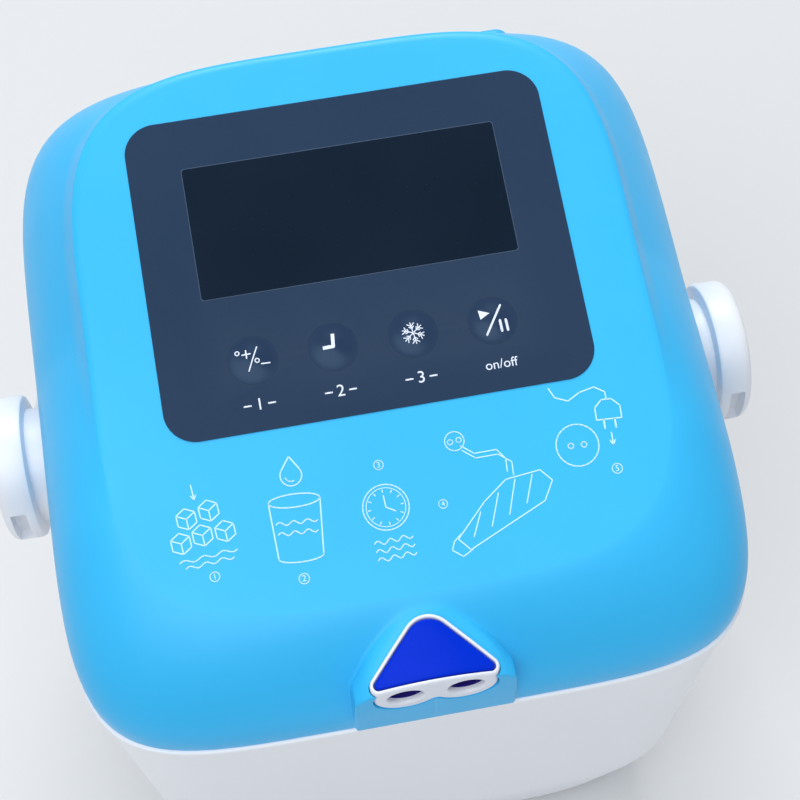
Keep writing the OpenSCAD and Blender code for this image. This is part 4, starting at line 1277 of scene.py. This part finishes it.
latch_y = HALF_D - 4.5
latch_shape = bmesh.new()
ring_skin(latch_shape, [latch_ring(grow, latch_y + out) for grow, out in
                        ((0, 0), (0, 4.2), (-0.2, 4.7), (-0.7, 5), (-3, 5.1))])
for i in (-1, 0, 1):
    rib_z = LATCH_Z + 3.4 * i
    block(latch_shape, (-9, latch_y + 4.6, rib_z - 0.55), (9, latch_y + 5.5, rib_z + 0.55), 0.3)
hook_back = latch_y - LATCH_TRAVEL - LATCH_ROOM - TAB_T - LATCH_ROOM
block(latch_shape, (-5, hook_back - HOOK_T, LATCH_Z - 1.3), (5, latch_y + 1, LATCH_Z + 1.7), 0.25)
block(latch_shape, (-5, hook_back - HOOK_T, LATCH_Z + 1.6), (5, hook_back, LATCH_Z + 6.7), 0.25)
latch = piece("latch_key", latch_shape, [WHITE], "latch")
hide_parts("latch_button")
print("latch button made")

# %% [markdown]
# ## Handle
# The handle is one moulding: two flat arms, a cross bar and two thick round hubs. An
# arm is swept: at every step of its path a rounded rectangle is placed square to it,
# and the rings are joined. It is drawn upright, as if the handle pointed to the rear,
# and then turned about the pins to its resting place against the bucket.

# %% The handle's arms and cross bar
grip_low, grip_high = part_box("handle_grip")
grip_y = (grip_low.y + grip_high.y) / 2 / MM - MIDDLE_Y / MM - PIVOT.y
grip_z = (grip_low.z + grip_high.z) / 2 / MM - PIVOT.z
REACH = math.hypot(grip_y, grip_z)
REST = math.atan2(grip_z, grip_y)
AT_REST = Matrix.Translation(PIVOT) @ Matrix.Rotation(REST, 4, "X")
BAIL_T = 7.2
BAND_W = 18
FLARE = 13
CORNER = 24.0
BAIL_MID = BAIL_IN + BAIL_T / 2
HUB_T = 13.4
print(f"handle reach {REACH:.1f} mm, resting {math.degrees(REST):.1f} degrees")


def bail_path():
    """Stations along half the handle: place, direction across the band, and the band's width."""
    stations = []
    for i in range(9):
        s = i / 8
        width = BAND_W + FLARE * (1 - eased(s, 0.05, 0.75))
        stations.append((Vector((BAIL_MID, 6 + (REACH - CORNER - 6) * s, 0)), Vector((1, 0, 0)), width))
    for i in range(1, 13):
        a = math.radians(90 * i / 12)
        c, s = math.cos(a), math.sin(a)
        place = Vector((BAIL_MID - CORNER * (1 - c), REACH - CORNER + (CORNER - BAIL_T / 2) * s, 0))
        stations.append((place, Vector((c, s, 0)), BAND_W))
    stations.append((Vector((50, REACH - BAIL_T / 2, 0)), Vector((0, 1, 0)), BAND_W))
    return stations


def bail_rings():
    """Rounded rectangles square to the path, from one hub round to the other."""
    half = bail_path()
    both = half + [(Vector((-p.x, p.y, 0)), Vector((-d.x, d.y, 0)), w) for p, d, w in reversed(half)]
    rings = []
    for place, out, width in both:
        ring = []
        for i in range(40):
            a = 2 * math.pi * i / 40
            reach = polar(math.cos(a), math.sin(a), BAIL_T / 2, width / 2, 5.0)
            ring.append(place + out * (reach * math.cos(a)) + Vector((0, 0, reach * math.sin(a))))
        rings.append(ring)
    return rings


bail = bmesh.new()
ring_skin(bail, bail_rings())
handle_bail = piece("handle_bail", bail, [WHITE], "bail", place=TO_FRAME @ AT_REST)
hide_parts("handle")
print("handle arms faces:", len(handle_bail.data.polygons))

# %% [markdown]
# A hub is a spun disc with softly rounded rims and a shallow seat for its cap. A slot
# in its front rim shows in the photograph as a small dark window, and is cut with a
# rounded block.

# %% Hubs
HUB_R = 29
HUB_PROFILE = [(5.06, -BAIL_T), (23, -BAIL_T), (23, 0), (27.2, 0), (28.4, 0.5), (HUB_R, 1.6), (HUB_R, 9.0),
               (28.8, 10.6), (28.0, 12.2), (26.8, 13.1), (25.2, HUB_T), (21.4, HUB_T), (21.1, 13.1),
               (21.1, 10.9), (8.5, 10.9), (8.5, 7.4), (5.06, 7.4), (5.06, -BAIL_T)]
SLOT_HALF = Vector((3.1, 4.5, 10.5))
for side, name in ((-1, "hub_left"), (1, "hub_right")):
    hub_shape = bmesh.new()
    middle = (side * (BAIL_IN + BAIL_T), 0, 0)
    spun(hub_shape, HUB_PROFILE, middle, (side, 0, 0), steps=128)
    hub = piece(name, hub_shape, [WHITE], "bail", place=TO_FRAME @ AT_REST, sharp=36)
    slot = bmesh.new()
    slot_middle = Vector((side * (BAIL_IN + BAIL_T + 7), 1.5 - HUB_R, 1))
    block(slot, slot_middle - SLOT_HALF, slot_middle + SLOT_HALF, 0.8, segments=3)
    carve(hub, slot, 36, TO_FRAME @ Matrix.Translation(PIVOT))
    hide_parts("handle")
print("hubs slotted")

# %% [markdown]
# The cap over each pin is a thin spun disc, dished a little, with a fine groove near
# its edge. The grip is a sleeve on the cross bar, a touch thicker in the middle, with
# grooves that keep a wet hand from slipping.

# %% Caps and grip
CAP_T = 2.4
GRIP_R = 11.9
caps = bmesh.new()
for side in (-1, 1):
    seat = BAIL_IN + BAIL_T + HUB_T - CAP_T
    spun(caps, [(0, 0), (20.9, 0), (20.9, 1.9), (20.5, 2.35), (19, CAP_T), (18.6, 2.0), (18.0, 2.0),
                (17.6, CAP_T), (8, 2.15), (0, 2.0)], (side * seat, 0, 0), (side, 0, 0), steps=96)
cap_piece = piece("pin_caps", caps, [WHITE], "bail", place=TO_FRAME @ AT_REST)
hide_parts("hub_caps")


def grip_profile():
    half = 58.0
    points = [(0, -half), (9.5, -half), (10.8, -half + 0.4), (11.7, -half + 1.4), (GRIP_R, -half + 3)]
    for i in range(81):
        h = -half + 5 + (2 * half - 10) * i / 80
        groove = 0.55 if i % 8 in (3, 4) and 12 <= i <= 69 else 0
        points.append((GRIP_R + 0.6 * math.cos(math.pi * h / (2 * half)) - groove, h))
    return points + [(GRIP_R, half - 3), (11.7, half - 1.4), (10.8, half - 0.4), (9.5, half), (0, half)]


grip_shape = bmesh.new()
spun(grip_shape, grip_profile(), (0, REACH, 0), (1, 0, 0), steps=72)
grip = piece("grip_sleeve", grip_shape, [WHITE], "bail", place=TO_FRAME @ AT_REST, sharp=50)
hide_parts("handle_grip")
print("caps and grip made")

# %% [markdown]
# ## Power inlet cover
# A small blue hood at the rear of the lid surrounds the power inlet. Its outline is
# the hull of four circles again, its outer edge is rounded, and the inlet is a bored
# hole with a countersink.

# %% Inlet cover
HOOD_OUT = 7
hood = bmesh.new()
ring_skin(hood, [inlet_ring(grow, HALF_D + out) for grow, out in
                 ((0, -5.9), (0, 5.4), (-0.25, 6.3), (-0.8, 6.9), (-1.6, HOOD_OUT))])
inlet = piece("inlet_hood", hood, [SKY_BLUE], "lid")
bore = bmesh.new()
spun(bore, [(0, -1), (7.0, -1), (6.6, 0), (5.4, 1.4), (5.0, 2), (5.0, 16), (0, 16)],
     (INLET_X, HALF_D + HOOD_OUT, SEAM + 15), (0, -1, 0), steps=64)
carve(inlet, bore)
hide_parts("inlet_cover")
print("inlet cover bored")

# %% [markdown]
# ## Feet
# Four soft feet are spun, with a rounded lower edge and a shallow cup under them.

# %% Feet
FOOT_R = 9
foot_low, foot_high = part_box("feet")
foot_x = foot_high.x / MM - FOOT_R
foot_y = (foot_high.y - foot_low.y) / 2 / MM - FOOT_R
feet_shape = bmesh.new()
for sx in (-1, 1):
    for sy in (-1, 1):
        spun(feet_shape, [(0, 0.5), (5, 0.5), (5.6, 0.1), (6.2, 0), (7.6, 0), (8.6, 0.4), (FOOT_R, 1.4),
                          (FOOT_R, 4.1), (0, 4.1)], (sx * foot_x, sy * foot_y, 0), (0, 0, 1), steps=48)
feet_piece = piece("soft_feet", feet_shape, [RUBBER], "bucket")
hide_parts("feet")
print("feet made")

# %% [markdown]
# ## Springs
# Small coil springs push the latch, the release button and the two valves back. Each
# takes its place from the imported spring, so it needs no move to the frame: a round wire
# follows a helix, with its end turns closed up.

# %% Springs
# short name, joint, way it is pressed, travel, turns, radius of the wire, body
SPRINGS = {
    "latch_spring": ("latch", "latch_press", (0, -1, 0), 1.4, 5, 0.35, "bucket"),
    "release_spring": ("release", "release_press", (0, 0.22495, -0.97437), 1.4, 6, 0.35, "lid"),
    "valve_spring_left": ("valve_left", "left_valve_slide", (0, 1, 0), 2.0, 3, 0.2, "lid"),
    "valve_spring_right": ("valve_right", "right_valve_slide", (0, 1, 0), 2.0, 3, 0.2, "lid"),
}
STEPS_A_TURN = 28
WIRE_SIDES = 10
CLOSED_ENDS = 0.6
for node_name, (short, joint, way, travel, turns, wire, body) in SPRINGS.items():
    low, high = (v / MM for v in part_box(node_name))
    middle, size, way = (low + high) / 2, high - low, Vector(way)
    if abs(way.z) > 0.5:
        radius = size.x / 2
        length = (size.z - 2 * radius * abs(way.y)) / abs(way.z)
    else:
        radius = size.z / 2
        length = size.y
    spread_x = size.x / 2 - radius
    shape = bmesh.new()
    steps = turns * STEPS_A_TURN
    for offset in ((-spread_x, spread_x) if spread_x > 1 else (0,)):
        coil = bmesh.new()
        rings = []
        for i in range(steps + 1):
            t = i / steps
            closed = t - CLOSED_ENDS * math.sin(2 * math.pi * t) / (2 * math.pi)
            out = Matrix.Rotation(2 * math.pi * turns * t, 3, way) @ way.orthogonal().normalized()
            centre = (middle + Vector((offset, 0, 0)) + out * (radius - wire)
                      + way * ((closed - 0.5) * (length - 2 * wire)))
            rings.append([centre + (out * math.cos(a) + way * math.sin(a)) * wire
                          for a in (2 * math.pi * k / WIRE_SIDES for k in range(WIRE_SIDES))])
        ring_skin(coil, rings)
        join(shape, coil)
    spring = piece(f"{short}_coil", shape, [STEEL], body, place=Matrix.Scale(MM, 4))
    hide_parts(node_name)
    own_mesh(spring)
    print(f"{node_name}: {length:.1f} mm long, {2 * radius:.1f} mm wide, {turns} turns")

# %% [markdown]
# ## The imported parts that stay
# The pump, the lid's base, screws, hoses and boards are right as they are.
# The ones that a piece above stands for are hidden already, so the rest are what is
# kept. Their meshes are loose triangles, so a Weld modifier joins them first, an Edge
# Split keeps real corners sharp, and each gets the finish of its material.

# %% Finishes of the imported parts
KEPT = {
    "lid_base": WHITE, "base_plate": WHITE, "pump_column": WHITE, "pump_housing": WHITE, "strainer": WHITE,
    "supply_hose": WHITE, "return_hose": WHITE, "insulation": FOAM,
    # the valves take the ports' dark blue, painted shade at the back of the bores
    "valve_left": PORT_SHADE_BLUE, "valve_right": PORT_SHADE_BLUE, "lid_seal": RUBBER, "port_seals": RUBBER,
    "power_jack": RUBBER, "wiring": RUBBER, "impeller": RUBBER, "main_board": BOARD,
}
kept = {name: node for name, node in nodes.items() if not node.hide_render}
for name, node in kept.items():
    node.data.shade_smooth()
    weld = node.modifiers.new("weld", "WELD")
    weld.merge_threshold = 0.00001
    split = node.modifiers.new("corners", "EDGE_SPLIT")
    split.split_angle = math.radians(30)
    node.data.materials.clear()
    node.data.materials.append(KEPT.get(name, STEEL))
print("packed parts kept:", len(kept))
